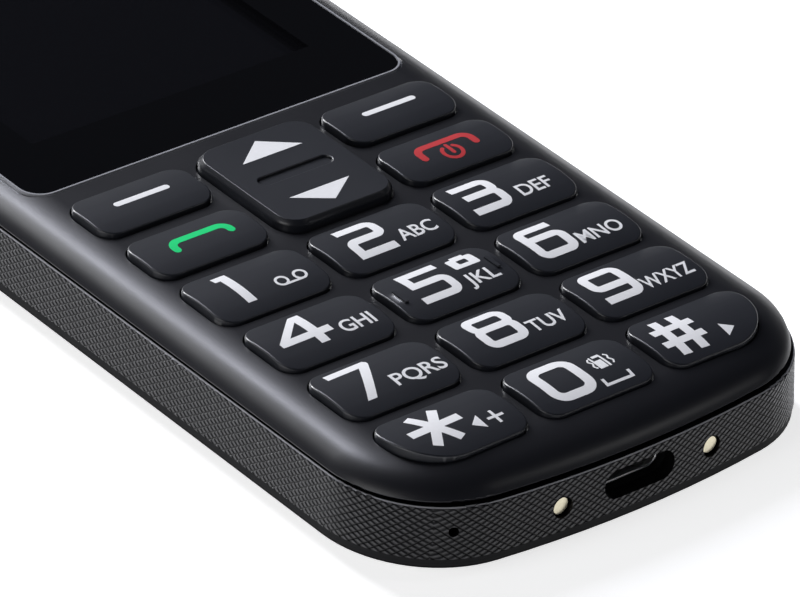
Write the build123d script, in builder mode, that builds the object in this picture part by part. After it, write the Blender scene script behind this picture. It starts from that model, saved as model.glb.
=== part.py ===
"""Big-button bar phone: front cover with lens and seventeen keys, side band, rear housing and back cover.

The phone lies on its back. +Z points out of the front, +Y towards the earpiece, +X to the user's right,
and the origin is the middle of the back face. Every length is in millimetres.
"""
import os
from math import atan2, cos, degrees, radians, sin, tan

from build123d import *

# Whole phone in plan, measured along the top edge of its side band
WIDTH = 58.4
LENGTH = 138.0
END_BOW = 3.0
CORNER_R = 13.1
HALF_WIDTH = WIDTH / 2
HALF_LENGTH = LENGTH / 2
END_R = (HALF_WIDTH**2 + END_BOW**2) / (2 * END_BOW)
END_CENTRE_Y = HALF_LENGTH - END_R

# Gaps
SEAT_GAP = 0.05
FIT_GAP = 0.1
KEY_GAP = 0.2
SHAFT_GAP = 0.05

# Wall thicknesses
BACK_WALL = 0.9
BACK_SIDE_WALL = 3.4
FLOOR_WALL = 0.6
HOUSING_WALL = 1.1
BAND_WALL = 1.2
NECK_WALL = 1.0
FACE_WALL = 1.0
SHELF_WALL = 0.5
RIB_WALL = 0.9

# Stack of heights, from the back face up
BATTERY_THICK = 4.2
CAN_HEIGHT = 1.35
BOARD_THICK = 0.8
BACKLIGHT_THICK = 1.2
PANEL_THICK = 0.95
TAPE_THICK = 0.15
LENS_THICK = 0.75
LENS_SUNK = 0.05
BATTERY_Z = BACK_WALL + SEAT_GAP
FLOOR_Z = BATTERY_Z + BATTERY_THICK + SEAT_GAP
FLOOR_TOP = FLOOR_Z + FLOOR_WALL
CAN_Z = FLOOR_TOP + SEAT_GAP
BOARD_Z = CAN_Z + CAN_HEIGHT
BOARD_TOP = BOARD_Z + BOARD_THICK
BACKLIGHT_Z = BOARD_TOP + SEAT_GAP
PANEL_Z = BACKLIGHT_Z + BACKLIGHT_THICK
PANEL_TOP = PANEL_Z + PANEL_THICK
SHELF_Z = PANEL_TOP + SEAT_GAP
SHELF_TOP = SHELF_Z + SHELF_WALL
LENS_Z = SHELF_TOP + TAPE_THICK
LENS_TOP = LENS_Z + LENS_THICK
FACE_Z = LENS_TOP + LENS_SUNK
KEYPAD_CEILING = FACE_Z - FACE_WALL

# Front cover's outside: a flat face, a long soft shoulder, a short leaning lip and a groove over the band
FACE_HEIGHT = 2.7
LIP_INSET = 0.0
LIP_SHORT = 0.45
LIP_LEAN = 25.0
LIP_EDGE_R = 0.28
SHOULDER_RUN = 2.75
SHOULDER_DROP = 1.15
SHOULDER_TOP_R = 12.3
SHOULDER_EDGE_R = 1.2
GROOVE = 0.15
LIP_Z = FACE_Z - FACE_HEIGHT
NECK_INSET = BAND_WALL + FIT_GAP
NECK_Z = BOARD_TOP + FIT_GAP
HOLLOW_INSET = NECK_INSET + NECK_WALL

# Side band, rear housing's rim and back cover, seen from the side
BACK_RIM_Z = 2.0
BACK_TUCK_IN = 3.4
BACK_TUCK_UP = 1.9
BACK_EDGE_R = 5.0
RIM_HEIGHT = 0.85
RIM_STEP = 0.1
RIM_Z = BACK_RIM_Z + SEAT_GAP
RIM_TOP = RIM_Z + RIM_HEIGHT
BAND_Z = RIM_TOP + SEAT_GAP
BAND_TOP = LIP_Z - GROOVE
BAND_MIDDLE = (BAND_Z + BAND_TOP) / 2
BAND_FLARE = 0.5
BAND_EDGE_R = 0.3
BOTTOM_Y = -HALF_LENGTH - BAND_FLARE
RIM_INSET = RIM_STEP - BAND_FLARE
HOUSING_INSET = BAND_WALL + FIT_GAP
HOUSING_HOLLOW = HOUSING_INSET + HOUSING_WALL

# Keys: three columns that fill the width, four digit rows, and two rows of shorter keys above them
KEYPAD_MARGIN = 4.95
KEYPAD_FOOT_UP = 5.875
KEY_SPACE_X = 1.9
KEY_SPACE_Y = 1.65
CALL_SPACE = 1.625
SOFT_SPACE = 2.1
KEYPAD_HEAD = 1.85
KEY_H = 8.85
SHORT_KEY_H = 7.5
KEY_R = 2.2
KEY_STRAIGHT = 0.25
KEY_EDGE_R = 0.2
KEY_PROUD = 0.9
KEY_CROWN_R = 17.8
KEY_TRAVEL = 0.3
FLANGE_WIDTH = 0.45
FLANGE_THICK = 0.5
CHAMFER_IN = 1.2
CHAMFER_DOWN = 0.7
KEY_W = (WIDTH - 2 * KEYPAD_MARGIN - 2 * KEY_SPACE_X) / 3
KEY_PITCH_X = KEY_W + KEY_SPACE_X
KEY_PITCH_Y = KEY_H + KEY_SPACE_Y
KEY_BIG_R = KEY_H - KEY_R - KEY_STRAIGHT
ROW_1_UP = KEYPAD_FOOT_UP + KEY_H / 2 + 3 * KEY_PITCH_Y
CALL_ROW_UP = KEY_H / 2 + CALL_SPACE + SHORT_KEY_H / 2
SOFT_ROW_UP = CALL_ROW_UP + SHORT_KEY_H + SOFT_SPACE
ROW_1_Y = -HALF_LENGTH + ROW_1_UP
KEYPAD_END_Y = ROW_1_Y + SOFT_ROW_UP + SHORT_KEY_H / 2 + KEYPAD_HEAD
KEY_TOP = FACE_Z + KEY_PROUD
FLANGE_Z = KEYPAD_CEILING - FIT_GAP - FLANGE_THICK

# Display window, display module and lens, between the keys and the earpiece
LENS_INSET = 3.8
LENS_SPACE = 1.7
LENS_CORNER_R = 2.5
LENS_GAP = 0.05
BEZEL_WIDTH = 0.5
BEZEL_PROUD = 0.05
BEZEL_RIM = 0.2
BEZEL_GROOVE_DEPTH = 0.4
VIEW_SIDE = 9.44
VIEW_LEDGE = 8.1
VIEW_DOWN = 9.64
PANEL_SIDE = 1.6
PANEL_LEDGE = 4.6
PANEL_HEAD = 0.5
LENS_BOTTOM_Y = KEYPAD_END_Y + LENS_SPACE
VIEW_W = WIDTH - 2 * VIEW_SIDE
VIEW_BOTTOM_Y = LENS_BOTTOM_Y + VIEW_LEDGE
VIEW_TOP_Y = HALF_LENGTH - VIEW_DOWN
VIEW_H = VIEW_TOP_Y - VIEW_BOTTOM_Y
PANEL_W = VIEW_W + 2 * PANEL_SIDE
PANEL_BOTTOM_Y = VIEW_BOTTOM_Y - PANEL_LEDGE
PANEL_TOP_Y = VIEW_TOP_Y + PANEL_HEAD

# Raised marks on the middle key
MARK_LENGTH = 2.2
MARK_WIDTH = 0.45
MARK_HEIGHT = 0.2
MARK_IN = 1.25

# Rocker navigation key, as tall as the two short rows beside it
NAV_WIDER = 0.3
NAV_TALLER = 0.15
NAV_R = 2.4
NAV_EXTRA = 0.4
NAV_STEP = 0.5
NAV_STEP_DROP = 0.65
NAV_FLANGE = 0.35
NAV_FLANGE_THICK = 0.38
NAV_TILT = 2.0
NAV_GROOVE_L = 9.7
NAV_GROOVE_W = 1.6
NAV_GROOVE_DEPTH = 0.3
NAV_GROOVE_EDGE_R = 0.15
NAV_PIVOT_W = 1.2
NAV_W = KEY_W + 2 * NAV_WIDER - 2 * NAV_STEP
NAV_H = SOFT_ROW_UP - CALL_ROW_UP + SHORT_KEY_H + 2 * NAV_TALLER - 2 * NAV_STEP
NAV_Y = ROW_1_Y + (CALL_ROW_UP + SOFT_ROW_UP) / 2
NAV_TOP = KEY_TOP + NAV_EXTRA
NAV_BASE_H = NAV_H + 2 * NAV_STEP
NAV_SWING = (NAV_BASE_H / 2 + NAV_FLANGE) * sin(radians(NAV_TILT))
NAV_FLANGE_TOP = KEYPAD_CEILING - NAV_SWING - FIT_GAP
NAV_FLANGE_Z = NAV_FLANGE_TOP - NAV_FLANGE_THICK

# Silicone mat and domes under the keys
MAT_TRAVEL_GAP = 0.03
MAT_ISLAND = 0.32
MAT_SHEET = 0.35
MAT_INSET = 2.75
MAT_RIM = 1.2
MAT_ISLAND_INSET = 1.2
NUB_R = 1.5
DOME_R = 2.5
DOME_HEIGHT = 0.3
NAV_DOME_IN = 3.0
NAV_DOME_Y = NAV_H / 2 - NAV_DOME_IN
MAT_ISLAND_TOP = FLANGE_Z - KEY_TRAVEL - MAT_TRAVEL_GAP
MAT_TOP = MAT_ISLAND_TOP - MAT_ISLAND
MAT_Z = MAT_TOP - MAT_SHEET
MAT_END_Y = KEYPAD_END_Y - FIT_GAP

# Column number, distance up from the first digit row and height of each plain key
KEYS = {
    "key_soft_left": (-1, SOFT_ROW_UP, SHORT_KEY_H),
    "key_soft_right": (1, SOFT_ROW_UP, SHORT_KEY_H),
    "key_call": (-1, CALL_ROW_UP, SHORT_KEY_H),
    "key_end": (1, CALL_ROW_UP, SHORT_KEY_H),
    "key_1": (-1, 0, KEY_H),
    "key_2": (0, 0, KEY_H),
    "key_3": (1, 0, KEY_H),
    "key_4": (-1, -KEY_PITCH_Y, KEY_H),
    "key_5": (0, -KEY_PITCH_Y, KEY_H),
    "key_6": (1, -KEY_PITCH_Y, KEY_H),
    "key_7": (-1, -2 * KEY_PITCH_Y, KEY_H),
    "key_8": (0, -2 * KEY_PITCH_Y, KEY_H),
    "key_9": (1, -2 * KEY_PITCH_Y, KEY_H),
    "key_star": (-1, -3 * KEY_PITCH_Y, KEY_H),
    "key_0": (0, -3 * KEY_PITCH_Y, KEY_H),
    "key_hash": (1, -3 * KEY_PITCH_Y, KEY_H),
}
CORNER_KEYS = ("key_star", "key_hash")

# Bottom end: USB-C receptacle, charging studs, microphone
USB_MOUTH_W = 9.4
USB_MOUTH_H = 3.3
USB_SHELL_W = 8.94
USB_SHELL_H = 3.16
USB_SHELL_WALL = 0.3
USB_SHELL_L = 7.35
USB_RECESS = 2.1
USB_LIP_R = 0.12
USB_RAISE = 0.15
TONGUE_W = 6.69
TONGUE_H = 0.7
TONGUE_RECESS = 0.9
TONGUE_BASE = 1.4
USB_Z = BAND_MIDDLE + USB_RAISE
USB_FRONT_Y = -HALF_LENGTH + USB_RECESS
USB_BACK_Y = USB_FRONT_Y + USB_SHELL_L
STUD_X = 10.0
STUD_DROP = 0.25
STUD_R = 0.95
STUD_HOLE_R = 1.2
STUD_SUNK = 0.4
STUD_L = 3.5
STUD_LEG = 1.2
STUD_Z = BAND_MIDDLE - STUD_DROP
MIC_ANGLE = 241.5
MIC_HOLE_R = 0.55
MIC_RAISE = 0.2
MIC_W = 3.4
MIC_L = 2.6
MIC_HEIGHT = 1.1
MIC_REACH = 7.5
CORNER_X = -HALF_WIDTH + CORNER_R
CORNER_Y = -END_CENTRE_Y - ((END_R - CORNER_R) ** 2 - CORNER_X**2) ** 0.5

# Screws that clamp the rear housing and the board to the front cover, beside the display
SCREW_R = 0.68
SCREW_HEAD_R = 1.35
SCREW_HEAD_H = 0.7
SCREW_BITE = 1.9
BOSS_R = 1.6
BOSS_SPACE = 0.14
BOSS_LIFT = 0.3
PILOT_R = 0.7
SCREW_DOWN = 29.0
SCREW_X = PANEL_W / 2 + BOSS_SPACE + BOSS_R
SCREW_YS = (KEYPAD_END_Y + BOSS_LIFT + BOSS_R, HALF_LENGTH - SCREW_DOWN)
SCREW_PLACES = [(side * SCREW_X, y) for y in SCREW_YS for side in (-1, 1)]

# Battery and its bay, between the floor and the back cover
BATTERY_SIDE = 1.75
BATTERY_FOOT_UP = 29.5
BATTERY_HEAD_DOWN = 53.5
BATTERY_R = 1.5
BATTERY_EDGE_R = 0.5
BAY_GAP = 0.3
BATTERY_W = 2 * (SCREW_X - SCREW_HEAD_R - BATTERY_SIDE)
BATTERY_TOP_Y = HALF_LENGTH - BATTERY_HEAD_DOWN
BATTERY_L = BATTERY_TOP_Y + HALF_LENGTH - BATTERY_FOOT_UP
BATTERY_Y = BATTERY_TOP_Y - BATTERY_L / 2
TERMINAL_COUNT = 3
TERMINAL_PITCH = 2.6
TERMINAL_W = 1.2
TERMINAL_H = 1.0
TERMINAL_Z = 2.6
SOCKET_W = 10.0
SOCKET_L = 2.6
SOCKET_Z = 2.1
SOCKET_Y = BATTERY_TOP_Y + BAY_GAP + SOCKET_L / 2

# Sockets under the board, reached from the back: SIM cards above the battery's contacts, memory card below
SIM_W = 14.6
SIM_L = 16.0
SIM_SPACE_X = 3.4
SIM_SPACE = 2.6
SIM_THICK = 1.4
CARD_W = 14.0
CARD_L = 13.5
CARD_X = -11.5
CARD_UP = 21.3
CARD_THICK = 1.5
SLOT_H = 0.6
SLOT_SIDE = 0.8
SLOT_DEPTH = 1.2
WINDOW_GAP = 0.4
SIM_X = (SIM_W + SIM_SPACE_X) / 2
SIM_Y = SOCKET_Y + SOCKET_L / 2 + SIM_SPACE + SIM_L / 2
CARD_Y = -HALF_LENGTH + CARD_UP

# Shield cans on the board's underside, one below the other, under the battery's contacts
CAN_R = 0.8
CAN_WALL = 0.2
RADIO_W = 24.0
RADIO_L = 18.0
RADIO_X = -9.0
RADIO_SPACE = 8.8
POWER_W = 20.0
POWER_L = 15.0
POWER_X = 11.0
POWER_SPACE = 9.5
RADIO_Y = SOCKET_Y - SOCKET_L / 2 - RADIO_SPACE - RADIO_L / 2
POWER_Y = RADIO_Y - RADIO_L / 2 - POWER_SPACE - POWER_L / 2

# Top section of the back: loudspeaker, camera and flash
TOP_SECTION_DOWN = 25.0
TOP_SECTION_WALL = 1.0
TOP_SECTION_Y = HALF_LENGTH - TOP_SECTION_DOWN
SPEAKER_W = 15.0
SPEAKER_L = 11.0
SPEAKER_H = 3.2
SPEAKER_R = 2.0
SPEAKER_SIDE = 14.2
SPEAKER_DOWN = 13.5
SPEAKER_SLOTS = 5
SPEAKER_SLOT_L = 7.0
SPEAKER_SLOT_W = 1.0
SPEAKER_SLOT_PITCH = 2.2
MESH_THICK = 0.2
CAMERA_R = 4.0
CAMERA_SIDE = 8.5
CAMERA_BODY_H = 3.0
CAMERA_BARREL_R = 3.0
CAMERA_BARREL_H = 0.9
CAMERA_DOWN = 12.5
CAMERA_HOLE_GAP = 0.1
WINDOW_SUNK = 0.15
WINDOW_THICK = 0.75
FLASH_R = 1.9
FLASH_X = 9.0
SPEAKER_X = SPEAKER_SIDE - HALF_WIDTH
SPEAKER_Y = HALF_LENGTH - SPEAKER_DOWN
CAMERA_Y = HALF_LENGTH - CAMERA_DOWN

# Back cover's grip ribs and tongues
TONGUE_TAB_W = 7.0
TONGUE_TAB_L = 2.5
TONGUE_TAB_THICK = 0.6
TONGUE_TAB_X = 18.0
GRIP_COUNT = 5
GRIP_PITCH = 2.0
GRIP_L = 18.0
GRIP_W = 1.0
GRIP_DEPTH = 0.25
GRIP_UP = 16.0

# Earpiece
EAR_W = 12.0
EAR_L = 5.0
EAR_R = 1.0
EAR_DOWN = 5.9
EAR_SLOT_W = 11.0
EAR_SLOT_L = 1.3
EAR_Y = HALF_LENGTH - EAR_DOWN

# Antenna carrier behind the USB-C receptacle
ANTENNA_W = 40.0
ANTENNA_L = 4.7
ANTENNA_SPACE = 0.35
ANTENNA_Z = 2.2
ANTENNA_Y = USB_BACK_Y + ANTENNA_SPACE + ANTENNA_L / 2

# Vibration motor with an off-centre weight, between the antenna and the battery
MOTOR_R = 1.9
MOTOR_L = 8.0
MOTOR_X = 6.0
MOTOR_SPACE = 4.5
SHAFT_R = 0.4
SHAFT_L = 5.2
SHAFT_IN = 1.6
WEIGHT_R = 1.75
WEIGHT_L = 3.0
WEIGHT_HUB_R = 0.8
MOTOR_Y = ANTENNA_Y + ANTENNA_L / 2 + MOTOR_SPACE
MOTOR_Z = FLOOR_Z - SEAT_GAP - MOTOR_R
CRADLE_LIFT = 0.9

# Volume rocker on the right side, in a scooped part of the band
ROCKER_L = 15.6
ROCKER_H = 2.2
ROCKER_DOWN = 31.0
ROCKER_GAP = 0.2
ROCKER_FLANGE_L = 17.0
ROCKER_FLANGE_H = 3.0
ROCKER_FLANGE_T = 0.6
ROCKER_TILT = 2.5
SCOOP_L = 21.0
SCOOP_DEPTH = 0.35
SWITCH_L = 13.0
SWITCH_H = 2.2
SWITCH_T = 0.8
SWITCH_NUB_R = 0.7
SWITCH_NUB_Y = 4.5
SWITCH_NUB_T = 0.3
SCOOP_R = (SCOOP_L / 2) ** 2 / (2 * SCOOP_DEPTH)
ROCKER_Y = HALF_LENGTH - ROCKER_DOWN
ROCKER_OUT_X = HALF_WIDTH + BAND_FLARE / 2
ROCKER_SWING = ROCKER_FLANGE_L / 2 * sin(radians(ROCKER_TILT))
ROCKER_IN_X = HALF_WIDTH - BAND_WALL - ROCKER_SWING - SEAT_GAP
ROCKER_BACK_X = ROCKER_IN_X - ROCKER_FLANGE_T
SWITCH_NUB_X = ROCKER_BACK_X - ROCKER_SWING - SEAT_GAP
SWITCH_X = SWITCH_NUB_X - SWITCH_NUB_T

# Display's ribbon
FLEX_W = 12.0
FLEX_THICK = 0.12
FLEX_REACH = 1.2


def outline(inset, shorter=0.0):
    """Plan of the phone drawn in by inset, and more at its ends: straight sides, bowed ends and round corners."""
    x = HALF_WIDTH - inset
    r = END_R - inset
    y_middle = END_CENTRE_Y + r - shorter
    y_side = END_CENTRE_Y + (r**2 - x**2) ** 0.5 - shorter
    with BuildSketch() as plan:
        with BuildLine():
            Line((x, -y_side), (x, y_side))
            ThreePointArc((x, y_side), (0, y_middle), (-x, y_side))
            Line((-x, y_side), (-x, -y_side))
            ThreePointArc((-x, -y_side), (0, -y_middle), (x, -y_side))
        make_face()
        fillet(plan.vertices(), CORNER_R - inset)
    return plan.sketch


def strip(plan, y_low, y_high):
    """The stretch of a plan between two distances along the phone."""
    with BuildSketch() as piece:
        add(plan)
        with Locations((0, (y_low + y_high) / 2)):
            Rectangle(2 * WIDTH, y_high - y_low, mode=Mode.INTERSECT)
    return piece.sketch


def rectangle(width, height, x, y, corner=0.0):
    """Plan of a rectangle about a point, with its corners rounded if a radius is given."""
    with BuildSketch() as plan:
        with Locations((x, y)):
            Rectangle(width, height)
        if corner:
            fillet(plan.vertices(), corner)
    return plan.sketch


def slab(plan, z_low, z_high):
    """A flat solid with a given plan, from one height to another."""
    with BuildPart() as plate:
        with BuildSketch(Plane.XY.offset(z_low)):
            add(plan)
        extrude(amount=z_high - z_low)
    return plate.part


def rod(radius, x, y, z_low, z_high):
    """An upright round rod."""
    with BuildPart() as pin:
        with BuildSketch(Plane.XY.offset(z_low)):
            with Locations((x, y)):
                Circle(radius)
        extrude(amount=z_high - z_low)
    return pin.part


def end_rod(radius, x, z, y_low, y_high):
    """A round rod that lies along the phone's length."""
    with BuildPart() as pin:
        with BuildSketch(Plane.XZ.offset(-y_high)):
            with Locations((x, z)):
                Circle(radius)
        extrude(amount=y_high - y_low)
    return pin.part


def end_slot(width, height, z, y_low, y_high):
    """A flat-sided oval bar that lies along the phone's length, as a USB-C plug does."""
    with BuildPart() as bar:
        with BuildSketch(Plane.XZ.offset(-y_high)):
            with Locations((0, z)):
                SlotOverall(width, height)
        extrude(amount=y_high - y_low)
    return bar.part


def side_slot(length, height, x_low, x_high):
    """A bar with round ends that points out of the right side, at the volume rocker's place."""
    with BuildPart() as bar:
        with BuildSketch(Plane.YZ.offset(x_low)):
            with Locations((ROCKER_Y, BAND_MIDDLE)):
                SlotOverall(length, height)
        extrude(amount=x_high - x_low)
    return bar.part


def lens_outline(grow=0.0):
    """Plan of the display lens: it follows the phone's top end and has small corners over the keys."""
    with BuildSketch() as plan:
        add(strip(outline(LENS_INSET - grow), LENS_BOTTOM_Y - grow, HALF_LENGTH))
        fillet(plan.vertices().group_by(Axis.Y)[0], LENS_CORNER_R + grow)
    return plan.sketch


def key_outline(name, grow=0.0):
    """Plan of a key. The star and hash keys have one large corner that follows the phone's corner."""
    column, up, height = KEYS[name]
    x = column * KEY_PITCH_X
    y = ROW_1_Y + up
    with BuildSketch() as plan:
        with Locations((x, y)):
            RectangleRounded(KEY_W + 2 * grow, height + 2 * grow, KEY_R + grow)
        if name in CORNER_KEYS:
            with Locations((x - column * KEY_W / 2, y + height / 2)):
                corner = (2 * (KEY_W + grow), 2 * (height + grow), KEY_BIG_R + grow)
                RectangleRounded(*corner, mode=Mode.INTERSECT)
    return plan.sketch


def nav_outline(grow=0.0):
    """Plan of the navigation key's flat top."""
    return rectangle(NAV_W + 2 * grow, NAV_H + 2 * grow, 0, NAV_Y, NAV_R + grow)


def front_cover():
    """Moulded front shell with its shoulder, lens recess, key openings and screw bosses."""
    with BuildPart() as cover:
        with BuildSketch(Plane.XY.offset(LIP_Z)):
            add(outline(LIP_INSET, LIP_SHORT))
        extrude(amount=FACE_HEIGHT, taper=LIP_LEAN)
        fillet(cover.faces().sort_by(Axis.Z)[0].edges(), LIP_EDGE_R)
        face = cover.faces().sort_by(Axis.Z)[-1]
        lean = radians(LIP_LEAN)
        level_run = SHOULDER_RUN - SHOULDER_DROP * tan(lean)
        chamfer(face.edges(), length=level_run, length2=SHOULDER_DROP / cos(lean), reference=face)
        fillet(cover.faces().sort_by(Axis.Z)[-1].edges(), SHOULDER_TOP_R)
        edge_z = FACE_Z - SHOULDER_DROP
        levels = cover.edges().group_by(Axis.Z)
        slope_foot = [level for level in levels if abs(level[0].center().Z - edge_z) < SEAT_GAP][0]
        fillet(slope_foot, SHOULDER_EDGE_R)
        add(slab(outline(NECK_INSET), NECK_Z, LIP_Z))
        add(slab(outline(HOLLOW_INSET), NECK_Z, SHELF_Z), mode=Mode.SUBTRACT)
        add(keypad_hollow(), mode=Mode.SUBTRACT)
        add(slab(lens_outline(LENS_GAP + BEZEL_WIDTH), SHELF_TOP, KEY_TOP), mode=Mode.SUBTRACT)
        window = rectangle(VIEW_W, VIEW_H, 0, (VIEW_BOTTOM_Y + VIEW_TOP_Y) / 2)
        add(slab(window, SHELF_Z, SHELF_TOP), mode=Mode.SUBTRACT)
        add(slab(rectangle(EAR_SLOT_W, EAR_SLOT_L, 0, EAR_Y), SHELF_Z, SHELF_TOP), mode=Mode.SUBTRACT)
        for name in KEYS:
            add(slab(key_outline(name, KEY_GAP), KEYPAD_CEILING, KEY_TOP), mode=Mode.SUBTRACT)
        add(slab(nav_outline(NAV_STEP + KEY_GAP), KEYPAD_CEILING, KEY_TOP), mode=Mode.SUBTRACT)
        for x, y in SCREW_PLACES:
            add(rod(BOSS_R, x, y, BOARD_TOP + SEAT_GAP, SHELF_Z))
            add(rod(PILOT_R, x, y, BOARD_TOP + SEAT_GAP, SHELF_Z), mode=Mode.SUBTRACT)
    return cover.part


def keypad_hollow():
    """The deeper part of the front cover's hollow, under the keys, with sloped sides under the shoulder."""
    with BuildPart() as hollow:
        plan = strip(outline(HOLLOW_INSET), -HALF_LENGTH, KEYPAD_END_Y)
        add(slab(plan, SHELF_Z - CHAMFER_DOWN, KEYPAD_CEILING))
        ceiling = hollow.faces().sort_by(Axis.Z)[-1]
        rounds = ceiling.edges().sort_by(Axis.Y)[:-1]
        chamfer(rounds, length=CHAMFER_IN, length2=CHAMFER_DOWN, reference=ceiling)
    return hollow.part


def display_bezel():
    """Thin bright rim that stands round the lens, on a wider foot that leaves a groove beside it."""
    with BuildPart() as bezel:
        add(slab(lens_outline(LENS_GAP + BEZEL_WIDTH - SEAT_GAP), SHELF_TOP, FACE_Z - BEZEL_GROOVE_DEPTH))
        add(slab(lens_outline(LENS_GAP + BEZEL_RIM), SHELF_TOP, FACE_Z + BEZEL_PROUD))
        add(slab(lens_outline(LENS_GAP), SHELF_TOP, FACE_Z + BEZEL_PROUD), mode=Mode.SUBTRACT)
    return bezel.part


def display_lens():
    """Flat lens over the display, with the earpiece slot near its top."""
    with BuildPart() as lens:
        add(slab(lens_outline(), LENS_Z, LENS_TOP))
        with BuildSketch(Plane.XY.offset(LENS_Z)):
            with Locations((0, EAR_Y)):
                SlotOverall(EAR_SLOT_W, EAR_SLOT_L)
        extrude(amount=LENS_THICK, mode=Mode.SUBTRACT)
    return lens.part


def lens_tape():
    """Die-cut tape frame that holds the lens on the cover's shelf."""
    hole = rectangle(VIEW_W, VIEW_H, 0, (VIEW_BOTTOM_Y + VIEW_TOP_Y) / 2)
    with BuildPart() as tape:
        add(slab(lens_outline(), SHELF_TOP, LENS_Z))
        add(slab(hole, SHELF_TOP, LENS_Z), mode=Mode.SUBTRACT)
        add(slab(rectangle(EAR_SLOT_W, EAR_SLOT_L, 0, EAR_Y), SHELF_TOP, LENS_Z), mode=Mode.SUBTRACT)
    return tape.part


def panel_plan(inset=0.0):
    """Plan of the display module."""
    height = PANEL_TOP_Y - PANEL_BOTTOM_Y
    return rectangle(PANEL_W - 2 * inset, height - 2 * inset, 0, (PANEL_TOP_Y + PANEL_BOTTOM_Y) / 2)


def lcd_backlight():
    """Pressed tray with the light guide, under the display glass."""
    return slab(panel_plan(), BACKLIGHT_Z, PANEL_Z)


def lcd_panel():
    """Display glass."""
    return slab(panel_plan(SEAT_GAP), PANEL_Z, PANEL_TOP)


def lcd_flex():
    """Ribbon that leaves the foot of the display and folds down to the board."""
    outer = PANEL_BOTTOM_Y - FLEX_REACH
    fold_z = BACKLIGHT_Z + BACKLIGHT_THICK / 2
    with BuildPart() as flex:
        with BuildSketch(Plane.YZ.offset(-FLEX_W / 2)):
            with BuildLine():
                Polyline(
                    (PANEL_BOTTOM_Y, fold_z),
                    (outer, fold_z),
                    (outer, BOARD_TOP),
                    (outer - FLEX_REACH, BOARD_TOP),
                    (outer - FLEX_REACH, BOARD_TOP + FLEX_THICK),
                    (outer - FLEX_THICK, BOARD_TOP + FLEX_THICK),
                    (outer - FLEX_THICK, fold_z + FLEX_THICK),
                    (PANEL_BOTTOM_Y, fold_z + FLEX_THICK),
                    close=True,
                )
            make_face()
        extrude(amount=FLEX_W)
    return flex.part


def key_cap(name):
    """Key cap, crowned from its foot to its head, with a flange that keeps it behind the front cover."""
    column, up, _ = KEYS[name]
    with BuildPart() as cap:
        add(slab(key_outline(name), FLANGE_Z, KEY_TOP))
        with Locations((column * KEY_PITCH_X, ROW_1_Y + up, KEY_TOP - KEY_CROWN_R)):
            Cylinder(KEY_CROWN_R, WIDTH, rotation=(0, 90, 0), mode=Mode.INTERSECT)
        fillet(cap.faces().sort_by(Axis.Z)[-1].edges(), KEY_EDGE_R)
        add(slab(key_outline(name, FLANGE_WIDTH), FLANGE_Z, FLANGE_Z + FLANGE_THICK))
        if name == "key_5":
            mark_x = KEY_W / 2 - MARK_IN
            for side in (-1, 1):
                mark = rectangle(MARK_WIDTH, MARK_LENGTH, column * KEY_PITCH_X + side * mark_x, ROW_1_Y + up)
                add(slab(mark, KEY_TOP - MARK_HEIGHT, KEY_TOP + MARK_HEIGHT))
    return cap.part


def key_nav():
    """Up and down rocker: a flat top with a bevel all round, and a long shallow groove across its middle."""
    with BuildPart() as rocker:
        add(slab(nav_outline(NAV_STEP), NAV_FLANGE_Z, NAV_TOP - NAV_STEP_DROP))
        with BuildSketch(Plane.XY.offset(NAV_TOP - NAV_STEP_DROP)):
            add(nav_outline(NAV_STEP))
        extrude(amount=NAV_STEP_DROP, taper=degrees(atan2(NAV_STEP, NAV_STEP_DROP)))
        fillet(rocker.faces().sort_by(Axis.Z)[-1].edges(), KEY_EDGE_R / 2)
        add(slab(nav_outline(NAV_STEP + NAV_FLANGE), NAV_FLANGE_Z, NAV_FLANGE_TOP))
        with BuildSketch(Plane.XY.offset(NAV_TOP - NAV_GROOVE_DEPTH)):
            with Locations((0, NAV_Y)):
                SlotOverall(NAV_GROOVE_L, NAV_GROOVE_W)
        extrude(amount=NAV_GROOVE_DEPTH, mode=Mode.SUBTRACT)
        rim = rocker.edges().filter_by(
            lambda edge: edge.center().Z > NAV_TOP - SEAT_GAP
            and abs(edge.center().X) < NAV_GROOVE_L / 2 + SEAT_GAP
            and abs(edge.center().Y - NAV_Y) < NAV_GROOVE_W
        )
        fillet(rim, NAV_GROOVE_EDGE_R)
    return rocker.part


def dome_places():
    """Middle of each dome contact: one under each key and two under the navigation rocker."""
    places = [(column * KEY_PITCH_X, ROW_1_Y + up) for column, up, _ in KEYS.values()]
    return places + [(0, NAV_Y - NAV_DOME_Y), (0, NAV_Y + NAV_DOME_Y)]


def keypad_mat():
    """Silicone sheet on the board, with an island under each key and a nub over each dome."""
    plan = strip(outline(MAT_INSET), -HALF_LENGTH, MAT_END_Y)
    inner = strip(outline(MAT_INSET + MAT_RIM), -HALF_LENGTH, MAT_END_Y - MAT_RIM)
    with BuildPart() as mat:
        add(slab(plan, BOARD_TOP, MAT_TOP))
        add(slab(inner, BOARD_TOP, MAT_Z), mode=Mode.SUBTRACT)
        for name in KEYS:
            add(slab(key_outline(name, -MAT_ISLAND_INSET), MAT_TOP, MAT_ISLAND_TOP))
        pivot = rectangle(NAV_W, NAV_PIVOT_W, 0, NAV_Y)
        add(slab(pivot, MAT_TOP, NAV_FLANGE_Z - SEAT_GAP))
        for x, y in dome_places():
            add(rod(NUB_R, x, y, BOARD_TOP + DOME_HEIGHT + SEAT_GAP, MAT_Z))
    return mat.part


def snap_dome():
    """One shallow domed contact, standing on the origin: the top of a large ball."""
    ball_r = (DOME_R**2 + DOME_HEIGHT**2) / (2 * DOME_HEIGHT)
    with BuildPart() as dome:
        with Locations((0, 0, DOME_HEIGHT - ball_r)):
            Sphere(ball_r)
        split(bisect_by=Plane.XY)
    return dome.part


def key_domes():
    """Snap domes on the board, one under each nub."""
    dome = snap_dome()
    with BuildPart() as domes:
        with Locations([(x, y, BOARD_TOP) for x, y in dome_places()]):
            add(dome)
    return domes.part


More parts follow.
